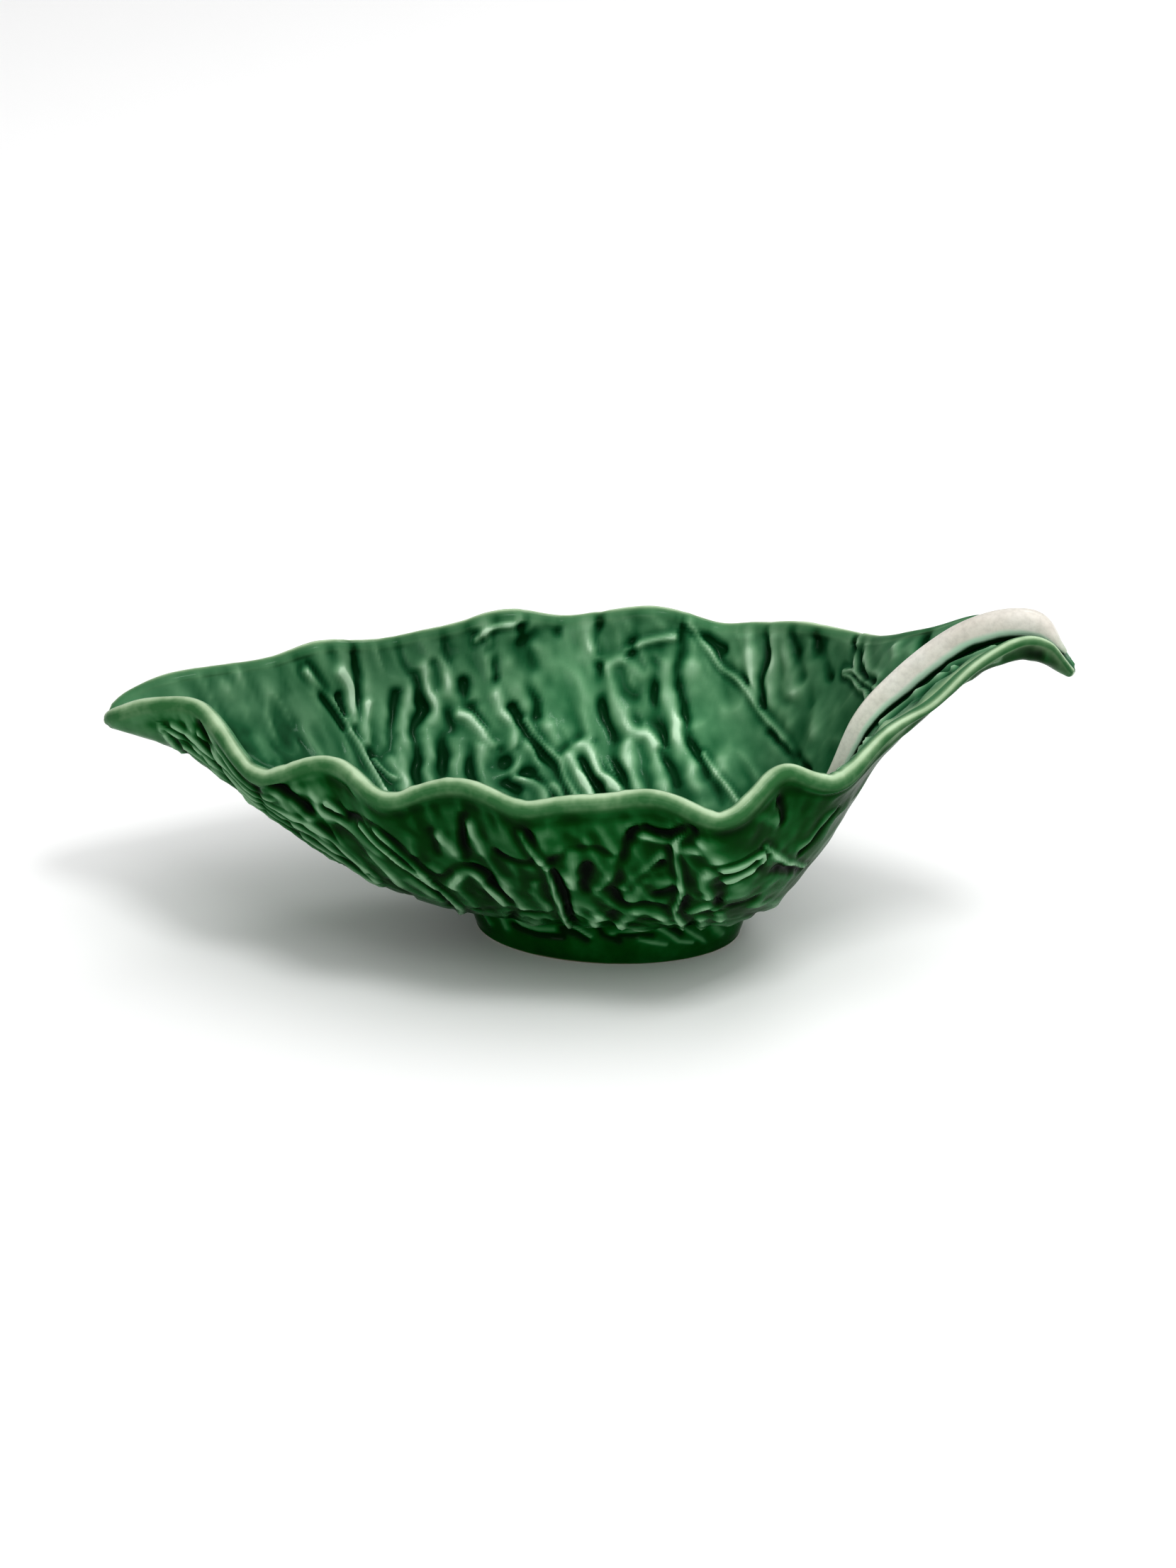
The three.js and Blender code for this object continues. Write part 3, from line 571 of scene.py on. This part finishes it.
def edge_loop(rows, cols):
    """Grid places round the edge: the near rim, the handle tip, the far rim and the pouring tip."""
    loop = [(i, 0) for i in range(rows - 1)]
    loop += [(rows - 1, j) for j in range(cols - 1)]
    loop += [(i, cols - 1) for i in range(rows - 1, 0, -1)]
    loop += [(0, j) for j in range(cols - 1, 0, -1)]
    return np.array(loop)


def blur_loop(values, points, reach):
    """Average a value round a closed loop of points, over a reach in mm."""
    step = np.linalg.norm(np.roll(points, -1, 0) - points, axis=1)
    place = np.cumsum(step) - step
    apart = np.abs(place[:, None] - place[None])
    apart = np.minimum(apart, step.sum() - apart)
    share = (step + np.roll(step, 1)) / 2
    weight = np.exp(-(apart / reach) ** 2) * share[None]
    return weight @ values / weight.sum(1, keepdims=True)


def pooled(relief):
    """Where the glaze runs thin (high) and where it gathers (low): the relief with its edges brought out."""
    return 0.55 * relief + 0.75 * (relief - blur(relief, 4))


def pool_and_shade_beside_stalk():
    """Glaze gathered along both sides of the stalk, and painted shade: on the +Y side the dark band reaches
    wider, where the stalk shades the wall behind it.
    """
    half = np.interp(AT, STALK[:, 0], STALK[:, 1], left=0, right=0)
    here = np.clip((AT - 11.5) / 0.8, 0, 1) * np.clip((17.6 - AT) / 0.5, 0, 1)
    gap = np.abs(MIDDLE[..., 1]) - half[:, None]
    # the wider reach on the +Y side is painted shade behind the stalk
    reach = np.where(MIDDLE[..., 1] > 0, 5.5, 3.2)
    return 1.6 * here[:, None] * np.exp(-(np.clip(gap, -1, None) / reach) ** 2)


def build_leaf(material):
    """The leaf's two faces and its rounded rim.

    Attributes: relief is low where glaze pools and where shade is painted beside the stalk,
    lower towards the bottom of the bowl and higher where a sheen is painted on the outer wall;
    rim is the share of rim colour; inside picks the paler inner colours, which are partly a painted
    reflection of the lights; and crown is how thin and pale the glaze is along the rim, and on the
    bead partly a painted highlight along its top.
    """
    rows, cols = len(AT), len(T)
    arc = np.where(T[None] < 0, ARC_NEAR[:, None], ARC_FAR[:, None])
    below = (1 - np.abs(T))[None] * arc
    wide_enough = between(arc, 9, 17)
    bead_swell = 0.12 * np.exp(-(below / 2.2) ** 2) * wide_enough
    under_bead = 0.35 * np.exp(-((below - 3.0) / 1.35) ** 2) * wide_enough
    slim = 0.9 * np.exp(-(below / 3.2) ** 2) * between(LABEL, 62, 76)[:, None]
    inner = MIDDLE + NORMAL * (HALF + INNER_RELIEF + bead_swell * 0.5 - slim)[..., None]
    outer = MIDDLE - NORMAL * (HALF + OUTER_RELIEF + bead_swell - under_bead - slim)[..., None]
    number = np.arange(rows * cols).reshape(rows, cols)
    a, b, c, d = number[:-1, :-1], number[1:, :-1], number[1:, 1:], number[:-1, 1:]
    inner_faces = np.stack([a, b, c, d], -1).reshape(-1, 4)
    outer_faces = np.stack([a, d, c, b], -1).reshape(-1, 4) + rows * cols
    loop = edge_loop(rows, cols)
    li, lj = loop[:, 0], loop[:, 1]
    middle = MIDDLE[li, lj]
    normal = NORMAL[li, lj]
    run = np.roll(middle, -1, 0) - np.roll(middle, 1, 0)
    outward = np.cross(run, normal)
    outward /= np.linalg.norm(outward, axis=1, keepdims=True)
    outward = blur_loop(outward, middle, 2.4)
    outward -= normal * (outward * normal).sum(1, keepdims=True)
    outward /= np.linalg.norm(outward, axis=1, keepdims=True)
    top = inner[li, lj]
    bottom = outer[li, lj]
    steps = 9
    strips = [li * cols + lj]
    extra = []
    centre = (top + bottom) / 2
    half = np.linalg.norm(top - bottom, axis=1, keepdims=True) / 2
    for k in range(1, steps):
        angle = math.pi / 2 - math.pi * k / steps
        extra.append(centre + outward * half * math.cos(angle) + normal * half * math.sin(angle))
        strips.append(2 * rows * cols + (k - 1) * len(loop) + np.arange(len(loop)))
    strips.append(rows * cols + li * cols + lj)
    strips = np.array(strips)
    after = np.roll(strips, -1, 1)
    bead = np.stack([strips[:-1], strips[1:], after[1:], after[:-1]], -1).reshape(-1, 4)
    points = np.concatenate([inner.reshape(-1, 3), outer.reshape(-1, 3)] + extra)
    faces = np.concatenate([inner_faces, outer_faces, bead])
    ends = np.minimum(np.abs(LABEL - TIP_X), np.abs(HANDLE_TIP_X - LABEL))[:, None] * np.ones_like(below)
    below = np.minimum(below, ends)
    on_handle = between(LABEL, 62, 74)[:, None]
    before_curl = on_handle * between(LABEL, 104, 98)[:, None]
    near_side = (T < 0)[None]
    rim_inner = 0.2 * np.exp(-(below / 0.6) ** 2)
    rim_inner = rim_inner + 0.75 * before_curl * near_side * np.exp(-(below / 3.6) ** 4)
    rim_outer = 0.7 * np.exp(-(below / 0.7) ** 2) * (1 - 0.8 * on_handle)
    rim_outer = rim_outer + 0.7 * before_curl * np.exp(-(below / 4.5) ** 4)
    rim_outer = rim_outer + 0.35 * (on_handle - before_curl) * np.exp(-(below / 1.6) ** 2)
    turn = np.arange(1, steps) / steps
    # round the bead the rim colour is strongest over its top and outer side: thinner glaze there, and partly
    # a painted highlight
    bead_thin_glaze_and_highlight = np.interp(turn, [0, 0.3, 0.42, 0.85, 1], [0.1, 0.3, 0.95, 1, 0.75])
    # crown peaks on the bead's top: thin pale glaze there, and partly a painted highlight, with painted shade
    # down its sides
    crown = np.exp(-((turn - 0.47) / 0.19) ** 2)
    # lower where glaze pools in the relief, and lowered further by the painted shade beside the stalk
    inner_pool_and_shade = pooled(INNER_TONE) - pool_and_shade_beside_stalk()
    outer_pool_and_sheen = pooled(OUTER_RELIEF - 0.6 * under_bead)
    # painted sheen: the outer wall made lighter from x -28 mm on towards the pouring end
    outer_pool_and_sheen = outer_pool_and_sheen + 0.26 * between(LABEL, -28, -58)[:, None]
    outer_pool_and_sheen = outer_pool_and_sheen + 0.25 * between(LABEL, -88, -106)[:, None]
    # darker towards the bottom of the bowl
    inner_pool_and_shade = inner_pool_and_shade - 0.5 * np.clip((0.75 - np.abs(T)) / 0.5, 0, 1)[None]
    bead_pool_and_sheen = (np.clip(1 - turn / 0.5, 0, 1)[:, None] * inner_pool_and_shade[li, lj]
                 + np.clip(turn / 0.4 - 1.5, 0, 1)[:, None] * outer_pool_and_sheen[li, lj])
    handle = between(LABEL[li], 62, 74)[None] * np.clip((turn - 0.56) / 0.12, 0, 1)[:, None]
    bead_rim = bead_thin_glaze_and_highlight[:, None] * (1 - 0.25 * handle)
    attributes = {
        "relief": np.concatenate([inner_pool_and_shade.ravel(), outer_pool_and_sheen.ravel(), bead_pool_and_sheen.ravel()]),
        "rim": np.concatenate([rim_inner.ravel(), rim_outer.ravel(), bead_rim.ravel()]),
        "inside": np.concatenate([np.ones(rows * cols), np.zeros(rows * cols),
                                  np.repeat(np.linspace(0.9, 0.1, steps - 1), len(loop))]),
        "crown": np.concatenate([(0.25 + 0.4 * before_curl * np.exp(-(below / 2.6) ** 2)).ravel(),
                                 (0.1 + 0.3 * on_handle * np.exp(-(below / 2.6) ** 2)).ravel(),
                                 np.repeat(crown, len(loop))]),
    }
    return make_object("leaf_majolica", points, faces, attributes, material)


# ---- stalk
def build_stalk(material):
    """The stalk along the leaf's centre line; height is 0 at its base and 1 on top, place is in stations."""
    n_along, n_round = 220, 40
    k = np.linspace(0, len(STALK) - 1, 2001)
    table = smooth_rows(STALK, k)
    at = np.interp(np.linspace(0, 1, n_along), np.linspace(0, 1, 2001), table[:, 0])
    half = np.interp(at, table[:, 0], table[:, 1])
    rise = np.interp(at, table[:, 0], table[:, 2])
    row = smooth_rows(STATIONS, at)
    sweep = np.radians(row[:, 5])
    up_dir = wall_normal(at, np.zeros(n_along))
    angle = np.linspace(0, 2 * math.pi, n_round, endpoint=False)
    over = np.cos(angle)
    lift = np.where(angle <= math.pi, np.abs(np.sin(angle)) ** 0.55, 0.0)
    y = half[:, None] * np.sign(over) * np.abs(over) ** 0.75
    t = np.arcsin(np.clip(y / row[:, 3][:, None] * np.sin(sweep)[:, None], -0.99, 0.99)) / sweep[:, None]
    grid_at = at[:, None] * np.ones(n_round)[None]
    base = wall_middle(grid_at, t) + wall_normal(grid_at, t) * (half_wall(grid_at) + 0.15)[..., None]
    wobble = value_noise(at[:, None] * 2.2, over[None] * 1.4 + 5, 77) * 0.12
    wobble = wobble * np.clip(rise / 4, 0, 1)[:, None]
    ring = base + up_dir[:, None] * (lift[None] * (rise[:, None] + wobble))[..., None]
    number = np.arange(n_along * n_round).reshape(n_along, n_round)
    nxt = np.roll(number, -1, 1)
    sides = np.stack([number[:-1], nxt[:-1], nxt[1:], number[1:]], -1).reshape(-1, 4)
    first = ring[0].mean(0)
    last = ring[-1].mean(0)
    points = [ring.reshape(-1, 3)]
    faces = [sides]
    count = n_along * n_round
    shrink = [0.66, 0.33]
    for end, hub, flip in ((0, first, True), (n_along - 1, last, False)):
        previous = number[end]
        for share in shrink:
            points.append(hub + (ring[end] - hub) * share)
            current = count + np.arange(n_round)
            count += n_round
            quad = np.stack([previous, np.roll(previous, -1), np.roll(current, -1), current], -1)
            faces.append(quad[:, ::-1] if flip else quad)
            previous = current
        half_n = n_round // 2
        idx = np.arange(half_n - 1)
        cap = np.stack([previous[idx], previous[idx + 1], previous[-idx - 2], previous[-idx - 1]], -1)
        faces.append(cap[:, ::-1] if flip else cap)
    points = np.concatenate(points)
    faces = np.concatenate(faces)
    end_points = len(shrink) * n_round
    height = np.concatenate([np.tile(lift, n_along), np.full(2 * end_points, 0.3)])
    place = np.concatenate([np.repeat(at, n_round), np.full(end_points, at[0]), np.full(end_points, at[-1])])
    return make_object("stalk_glazed", points, faces, {"height": height, "place": place}, material)


# ---- foot ring
# the leaf's veins run down over the top of the foot: half width mm, height mm, [(x mm, z mm), ...]
FOOT_STROKES = [
    (1.3, 0.6, [(-17, 10), (-16, 9), (-12, 8.6), (-8, 9.4)]),
    (0.6, 0.7, [(-6, 12), (-4, 11.2), (-2, 10.3), (1, 8.2)]),
    (0.8, 0.5, [(6, 9.4), (9, 10), (12, 10.3)]),
    (0.7, 0.55, [(13, 7.8), (16, 6.8), (19, 5.9)]),
    (0.7, 0.6, [(17.5, 10.8), (20, 8.5), (22, 6.4), (25, 5.4)]),
    (0.7, 0.6, [(22.5, 11), (24, 9), (27, 5.9), (28, 4.2)]),
    (1.2, 0.5, [(-22, 9.5), (-20.5, 6.5)]),
    (1.0, 0.5, [(-27, 8), (-25, 5.5)]),
    (1.3, 0.5, [(30, 8.5), (31.5, 5.5)]),
    (0.9, -0.55, [(8, 9), (12, 8.8), (16, 8.6)]),
    (1.0, -0.6, [(-6, 9.6), (-3, 8.6), (0, 7)]),
    (0.9, -0.6, [(-19, 7.6), (-13, 6.9), (-6, 7.3)]),
    (0.8, -0.5, [(20.5, 10.6), (22.7, 8.4)]),
    (0.8, -0.5, [(3, 10.8), (4, 8.6), (8, 7.2)]),
]


def underside(x, y):
    """Height of the leaf's outer face over points near the foot."""
    rows = np.where((LABEL > -60) & (LABEL < 62))[0]
    cols = np.where(np.abs(T) < 0.75)[0]
    outer_face = MIDDLE - NORMAL * HALF[..., None]
    patch = outer_face[rows[0]:rows[-1] + 1:3, cols[0]:cols[-1] + 1:3].reshape(-1, 3)
    out = np.empty(len(x))
    for k in range(len(x)):
        d = (patch[:, 0] - x[k]) ** 2 + (patch[:, 1] - y[k]) ** 2
        near = np.argpartition(d, 8)[:8]
        w = 1 / (d[near] + 0.05)
        out[k] = (patch[near, 2] * w).sum() / w.sum()
    return out


def foot_relief(x, z, arc):
    """Relief of the foot's side in mm at x, z; arc is mm round the foot for each mm of x."""
    total = np.zeros_like(x)
    for width, height, points in FOOT_STROKES:
        pts = np.array(points, float)
        best = square_distance(x * arc, z, pts, arc, 1.0)
        total += height * np.exp(-best / (width * width))
    return total * np.clip((z - 3.2) / 2.0, 0, 1)


def build_foot(material):
    """The oval foot ring; level is the height over the table in mm."""
    around = 480
    angle = np.linspace(0, 2 * math.pi, around, endpoint=False)
    c = np.cos(angle)
    s = np.sin(angle)

    def oval(inset):
        return FOOT_CENTRE_X + (FOOT_HALF_LENGTH - inset) * c, (FOOT_HALF_WIDTH - inset) * s

    edge = 0.9          # rounding of the bottom edges, mm
    shoulder = 7.0      # top of the leaning band
    lean = 1.5          # how far the band leans out
    wall = 5.5          # thickness of the ring at the table
    growth = 0.7        # how much thicker it is at its top
    swell = value_noise(c * 2.6 + 7, s * 2.6 + 7, 5) * 0.22
    arc = np.hypot(FOOT_HALF_LENGTH * s, FOOT_HALF_WIDTH * c) / np.maximum(FOOT_HALF_LENGTH * np.abs(s), 4)
    x, y = oval(-lean - 0.2)
    top = np.maximum(underside(x, y) + 0.7, shoulder + 0.3)
    points = []
    level = []
    relief = []

    def ring(inset, z, detail=0.0):
        x, y = oval(inset - detail)
        points.append(np.stack([x, y, z * np.ones(around)], -1))
        level.append(z * np.ones(around))
        relief.append(detail * np.ones(around))

    for k in range(6):
        a = math.pi / 2 * k / 5
        ring(edge * (1 - math.sin(a)), edge * (1 - math.cos(a)))
    for share in np.linspace(0.06, 1, 16):
        z = edge + (shoulder - edge) * share
        inset = -lean * share - 0.25 * math.sin(share * math.pi) - swell * min(z / 2, 1)
        x, _ = oval(inset)
        ring(inset, z, foot_relief(x, np.full(around, z), arc))
    for share in np.linspace(0.12, 1, 8):
        z = shoulder + (top - shoulder) * share
        inset = -lean - 0.9 * share * share - swell
        x, _ = oval(inset)
        ring(inset, z, foot_relief(x, z, arc))
    x, y = oval(wall + growth)
    inner_top = underside(x, y) + 0.9
    ring(wall + growth, inner_top)
    for share in np.linspace(0.85, 0.0, 8):
        ring(wall + growth * share, edge + (inner_top - edge) * share)
    for k in range(1, 5):
        a = math.pi / 2 * k / 4
        ring(wall - edge + edge * math.cos(a), edge * (1 - math.sin(a)))
    rings = len(points)
    number = np.arange(rings * around).reshape(rings, around)
    after = np.roll(number, -1, 1)
    faces = np.stack([number, after, np.roll(after, -1, 0), np.roll(number, -1, 0)], -1).reshape(-1, 4)
    attributes = {"level": np.concatenate(level), "relief": np.concatenate(relief)}
    return make_object("foot_ring_glazed", np.concatenate(points), faces, attributes, material)


# ---- materials
def add(tree, kind, **settings):
    node = tree.nodes.new(kind)
    for key, value in settings.items():
        setattr(node, key, value)
    return node


def new_material(name):
    """A material, its node tree, its shader and the place on the object that its noises follow."""
    material = bpy.data.materials.new(name)
    material.use_nodes = True
    tree = material.node_tree
    place = add(tree, "ShaderNodeTexCoord").outputs["Object"]
    return material, tree, tree.nodes["Principled BSDF"], place


def attribute(tree, name):
    return add(tree, "ShaderNodeAttribute", attribute_name=name).outputs["Fac"]


def noise(tree, vector, scale, detail=3.0, rough=0.55):
    node = add(tree, "ShaderNodeTexNoise")
    node.inputs["Scale"].default_value = scale
    node.inputs["Detail"].default_value = detail
    node.inputs["Roughness"].default_value = rough
    tree.links.new(vector, node.inputs["Vector"])
    return node.outputs["Fac"]


def ramp(tree, value, stops, smooth=False):
    node = add(tree, "ShaderNodeValToRGB")
    line = node.color_ramp
    line.interpolation = "EASE" if smooth else "LINEAR"
    while len(line.elements) > 1:
        line.elements.remove(line.elements[-1])
    line.elements[0].position = stops[0][0]
    line.elements[0].color = (*stops[0][1], 1)
    for place, colour in stops[1:]:
        element = line.elements.new(place)
        element.color = (*colour, 1)
    tree.links.new(value, node.inputs["Fac"])
    return node.outputs["Color"]


def math_node(tree, operation, *values):
    node = add(tree, "ShaderNodeMath", operation=operation)
    for socket, value in zip(node.inputs, values):
        if isinstance(value, (int, float)):
            socket.default_value = value
        else:
            tree.links.new(value, socket)
    return node.outputs[0]


def varied(tree, value, field, amount):
    """A value plus a noise field, which swings it up and down by half the amount."""
    swing = math_node(tree, "MULTIPLY", math_node(tree, "SUBTRACT", field, 0.5), amount)
    return math_node(tree, "ADD", value, swing)


def mix(tree, factor, a, b, blend="MIX"):
    node = add(tree, "ShaderNodeMix", data_type="RGBA", blend_type=blend)
    for socket, value in ((node.inputs[0], factor), (node.inputs[6], a), (node.inputs[7], b)):
        if isinstance(value, (int, float)):
            socket.default_value = value
        elif isinstance(value, tuple):
            socket.default_value = (*value, 1)
        else:
            tree.links.new(value, socket)
    return node.outputs[2]


def grey(value):
    return (value, value, value)


def bump(tree, height, distance, strength, shader):
    node = add(tree, "ShaderNodeBump")
    node.inputs["Distance"].default_value = distance
    node.inputs["Strength"].default_value = strength
    tree.links.new(height, node.inputs["Height"])
    tree.links.new(node.outputs["Normal"], shader.inputs["Normal"])


def glazed(tree, shader, colour, rough):
    tree.links.new(colour, shader.inputs["Base Color"])
    shader.inputs["Roughness"].default_value = rough
    shader.inputs["Specular IOR Level"].default_value = 0.035
    shader.inputs["Coat Weight"].default_value = 0.065
    shader.inputs["Coat Roughness"].default_value = 0.08


def leaf_material():
    material, tree, shader, place = new_material("majolica_leaf_green")
    relief = attribute(tree, "relief")
    rim = attribute(tree, "rim")
    inside = attribute(tree, "inside")
    pool = noise(tree, place, 55.0, 4.0, 0.6)
    drift = noise(tree, place, 16.0, 2.0, 0.5)
    depth = varied(tree, math_node(tree, "MULTIPLY_ADD", relief, 0.4, 0.5), pool, 0.3)
    outer = ramp(tree, depth, [
        (0.1, (0.0002, 0.004, 0.0003)),
        (0.34, (0.0004, 0.022, 0.0008)),
        (0.49, (0.001, 0.05, 0.004)),
        (0.6, (0.01, 0.1, 0.024)),
        (0.76, (0.08, 0.2, 0.095)),
        (0.92, (0.24, 0.39, 0.25)),
    ])
    # the inner colours are paler than the outer ones: the glaze, and partly a painted reflection of the
    # lights inside the bowl
    inner = ramp(tree, depth, [
        (0.1, (0.003, 0.05, 0.015)),
        (0.33, (0.033, 0.15, 0.068)),
        (0.5, (0.1, 0.25, 0.135)),
        (0.62, (0.165, 0.335, 0.195)),
        (0.8, (0.29, 0.47, 0.31)),
        (0.96, (0.55, 0.73, 0.55)),
    ])
    colour = mix(tree, inside, outer, inner)
    shade = ramp(tree, drift, [(0.3, grey(0.72)), (0.7, grey(1.22))])
    colour = mix(tree, 1.0, colour, shade, "MULTIPLY")
    mottle = noise(tree, place, 120.0, 3.0, 0.6)
    crown = varied(tree, attribute(tree, "crown"), mottle, 1.1)
    # rim colour from darker green to pale: thin glaze on the rim, and on the bead partly a painted highlight
    # along its top and painted shade down its sides
    edge = ramp(tree, crown, [
        (0.0, (0.05, 0.15, 0.06)),
        (0.35, (0.16, 0.27, 0.15)),
        (0.7, (0.32, 0.43, 0.28)),
        (1.0, (0.45, 0.57, 0.4)),
    ])
    colour = mix(tree, rim, colour, edge)
    glazed(tree, shader, colour, 0.27)
    skin = noise(tree, place, 420.0, 2.0, 0.5)
    swell = noise(tree, place, 130.0, 2.0, 0.5)
    height = math_node(tree, "ADD", math_node(tree, "MULTIPLY", skin, 0.25), swell)
    bump(tree, height, 0.0004, 0.35, shader)
    return material


def stalk_material():
    material, tree, shader, place = new_material("majolica_stalk_ivory")
    height = attribute(tree, "height")
    along = attribute(tree, "place")
    speck = noise(tree, place, 700.0, 3.0, 0.6)
    cloud = noise(tree, place, 70.0, 3.0, 0.55)
    ivory = ramp(tree, cloud, [
        (0.3, (0.7, 0.665, 0.6)),
        (0.55, (0.76, 0.73, 0.67)),
        (0.75, (0.79, 0.77, 0.72)),
    ])
    fine = ramp(tree, speck, [(0.3, grey(0.9)), (0.6, grey(1.03))])
    ivory = mix(tree, 1.0, ivory, fine, "MULTIPLY")
    low = varied(tree, height, cloud, 0.35)
    side = ramp(tree, low, [(0.24, grey(1)), (0.46, grey(0))], True)
    # pale green glaze along the stalk's lower edges, made paler to paint light onto those down-facing sides
    mint_with_painted_light = ramp(tree, cloud, [(0.3, (0.6, 0.84, 0.66)), (0.7, (0.76, 0.95, 0.79))])
    # painted light and shade: the ivory lighter low on the stalk's sides and darker on its top
    flank_painted_light = ramp(tree, height, [(0.45, grey(1.16)), (0.85, grey(0.97))])
    ivory = mix(tree, 1.0, ivory, flank_painted_light, "MULTIPLY")
    colour = mix(tree, side, ivory, mint_with_painted_light)
    # dark green line along the stalk's base: pooled glaze, and painted shade of the hollow beneath it
    pool_and_shade_line = ramp(tree, low, [(0.08, grey(1)), (0.2, grey(0))], True)
    base = math_node(tree, "MULTIPLY", along, 1 / LAST)
    near_floor = ramp(tree, base, [
        (0.44, grey(1)),
        (0.6, grey(0.55)),
        (0.68, grey(0)),
        (0.94, grey(0)),
        (0.985, grey(0.75)),
    ])
    green = ramp(tree, cloud, [(0.3, (0.1, 0.26, 0.13)), (0.7, (0.25, 0.42, 0.25))])
    colour = mix(tree, near_floor, colour, green)
    until_curl = ramp(tree, base, [(0.92, grey(1)), (0.96, grey(0))])
    pool_and_shade_line = math_node(tree, "MULTIPLY", pool_and_shade_line, until_curl)
    # the dark line is pooled glaze and painted shade
    colour = mix(tree, pool_and_shade_line, colour, (0.004, 0.06, 0.014))
    # painted light and shade along the stalk: lighter over its lower part, darker towards its high end on the
    # handle, where the lights hit it hardest
    crown = ramp(tree, base, [(0.74, grey(1.15)), (0.84, grey(0.86))])
    colour = mix(tree, 1.0, colour, crown, "MULTIPLY")
    glazed(tree, shader, colour, 0.22)
    bump(tree, speck, 0.0002, 0.3, shader)
    return material


def foot_material():
    material, tree, shader, place = new_material("majolica_foot_green")
    level = attribute(tree, "level")
    cloud = noise(tree, place, 60.0, 4.0, 0.6)
    depth = varied(tree, math_node(tree, "MULTIPLY_ADD", attribute(tree, "relief"), 0.55, 0.3), cloud, 0.6)
    body = ramp(tree, depth, [
        (0.1, (0.0003, 0.022, 0.001)),
        (0.3, (0.0008, 0.07, 0.006)),
        (0.45, (0.012, 0.13, 0.03)),
        (0.62, (0.09, 0.24, 0.11)),
        (0.85, (0.22, 0.4, 0.24)),
    ])
    wear = varied(tree, level, cloud, 1.2)
    base = ramp(tree, wear, [(0.0, grey(1)), (0.25, grey(0.5)), (0.6, grey(0))])
    clay = ramp(tree, cloud, [(0.35, (0.3, 0.28, 0.2)), (0.7, (0.5, 0.47, 0.36))])
    colour = mix(tree, base, body, clay)
    glazed(tree, shader, colour, 0.16)
    swell = noise(tree, place, 150.0, 2.0, 0.5)
    bump(tree, swell, 0.0004, 0.3, shader)
    return material


leaf = build_leaf(leaf_material())
stalk = build_stalk(stalk_material())
foot = build_foot(foot_material())
for piece, node, slot in ((leaf, "leaf_bowl", "leaf_glaze"), (stalk, "stalk", "stalk_glaze"),
                          (foot, "foot_ring", "foot_glaze")):
    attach(piece, "root")
    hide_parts(node)

# ---- floor, light, camera
scene = bpy.context.scene
FLOOR_HALF = 6.0  # metres
# soft rectangular lights: name, place in metres, width and height in metres, watts
LIGHTS = [
    ("top_soft", (0.6, -0.2, 1.5), (2.2, 2.2), 12),
    ("key_soft", (0.45, -0.4, 1.2), (0.3, 0.3), 3.6),
    ("front_soft", (-0.4, -1.4, 0.4), (0.9, 0.5), 3.2),
    ("back_soft", (0.35, 0.95, 0.8), (0.5, 0.3), 2.2),
]
LIGHT_TARGET = (0.0, 0.0, 0.04)
WORLD_STRENGTH = 0.42
CAMERA_ROUND = math.radians(8)  # how far round from the -Y side, towards the handle
CAMERA_RISE = math.radians(24)
CAMERA_DISTANCE = 1.2  # metres
CAMERA_AIM = np.array([-3.0, 0.0, 38.0])  # mm, in the leaf's frame
CAMERA_LENS = 112.3  # mm, on a sensor 36 mm high


def build_floor():
    material, tree, shader, place = new_material("studio_floor")
    cloud = noise(tree, place, 4.0, 2.0, 0.5)
    tint = ramp(tree, cloud, [(0.3, grey(0.86)), (0.7, grey(0.88))])
    tree.links.new(tint, shader.inputs["Base Color"])
    shader.inputs["Roughness"].default_value = 0.7
    mesh = bpy.data.meshes.new("floor")
    corners = [(-1, -1), (1, -1), (1, 1), (-1, 1)]
    mesh.from_pydata([(x * FLOOR_HALF, y * FLOOR_HALF, 0) for x, y in corners], [], [(0, 1, 2, 3)])
    obj = bpy.data.objects.new("floor", mesh)
    scene.collection.objects.link(obj)
    mesh.materials.append(material)


def facing(direction):
    """Turn of a light or camera that looks along a direction."""
    return Vector(direction).to_track_quat("-Z", "Y").to_euler()


def build_light(name, place, size, power):
    data = bpy.data.lights.new(name, "AREA")
    data.shape = "RECTANGLE"
    data.size, data.size_y = size
    data.energy = power
    obj = bpy.data.objects.new(name, data)
    obj.location = place
    obj.rotation_euler = facing(np.array(LIGHT_TARGET) - np.array(place))
    scene.collection.objects.link(obj)


build_floor()
for light in LIGHTS:
    build_light(*light)
world = bpy.data.worlds.new("studio")
world.use_nodes = True
background = world.node_tree.nodes["Background"]
background.inputs["Color"].default_value = (1, 1, 1, 1)
background.inputs["Strength"].default_value = WORLD_STRENGTH
scene.world = world
scene.view_settings.view_transform = "Standard"
scene.view_settings.look = "High Contrast"

back = np.array([
    math.sin(CAMERA_ROUND) * math.cos(CAMERA_RISE),
    -math.cos(CAMERA_ROUND) * math.cos(CAMERA_RISE),
    math.sin(CAMERA_RISE),
])
aim = (CAMERA_AIM + SHIFT) / 1000.0
camera_data = bpy.data.cameras.new("camera")
camera_data.sensor_fit = "AUTO"
camera_data.sensor_width = 36.0
camera_data.lens = CAMERA_LENS
camera_data.clip_start = 0.05
camera = bpy.data.objects.new("camera", camera_data)
camera.location = aim + back * CAMERA_DISTANCE
camera.rotation_euler = facing(-back)
scene.collection.objects.link(camera)
scene.camera = camera
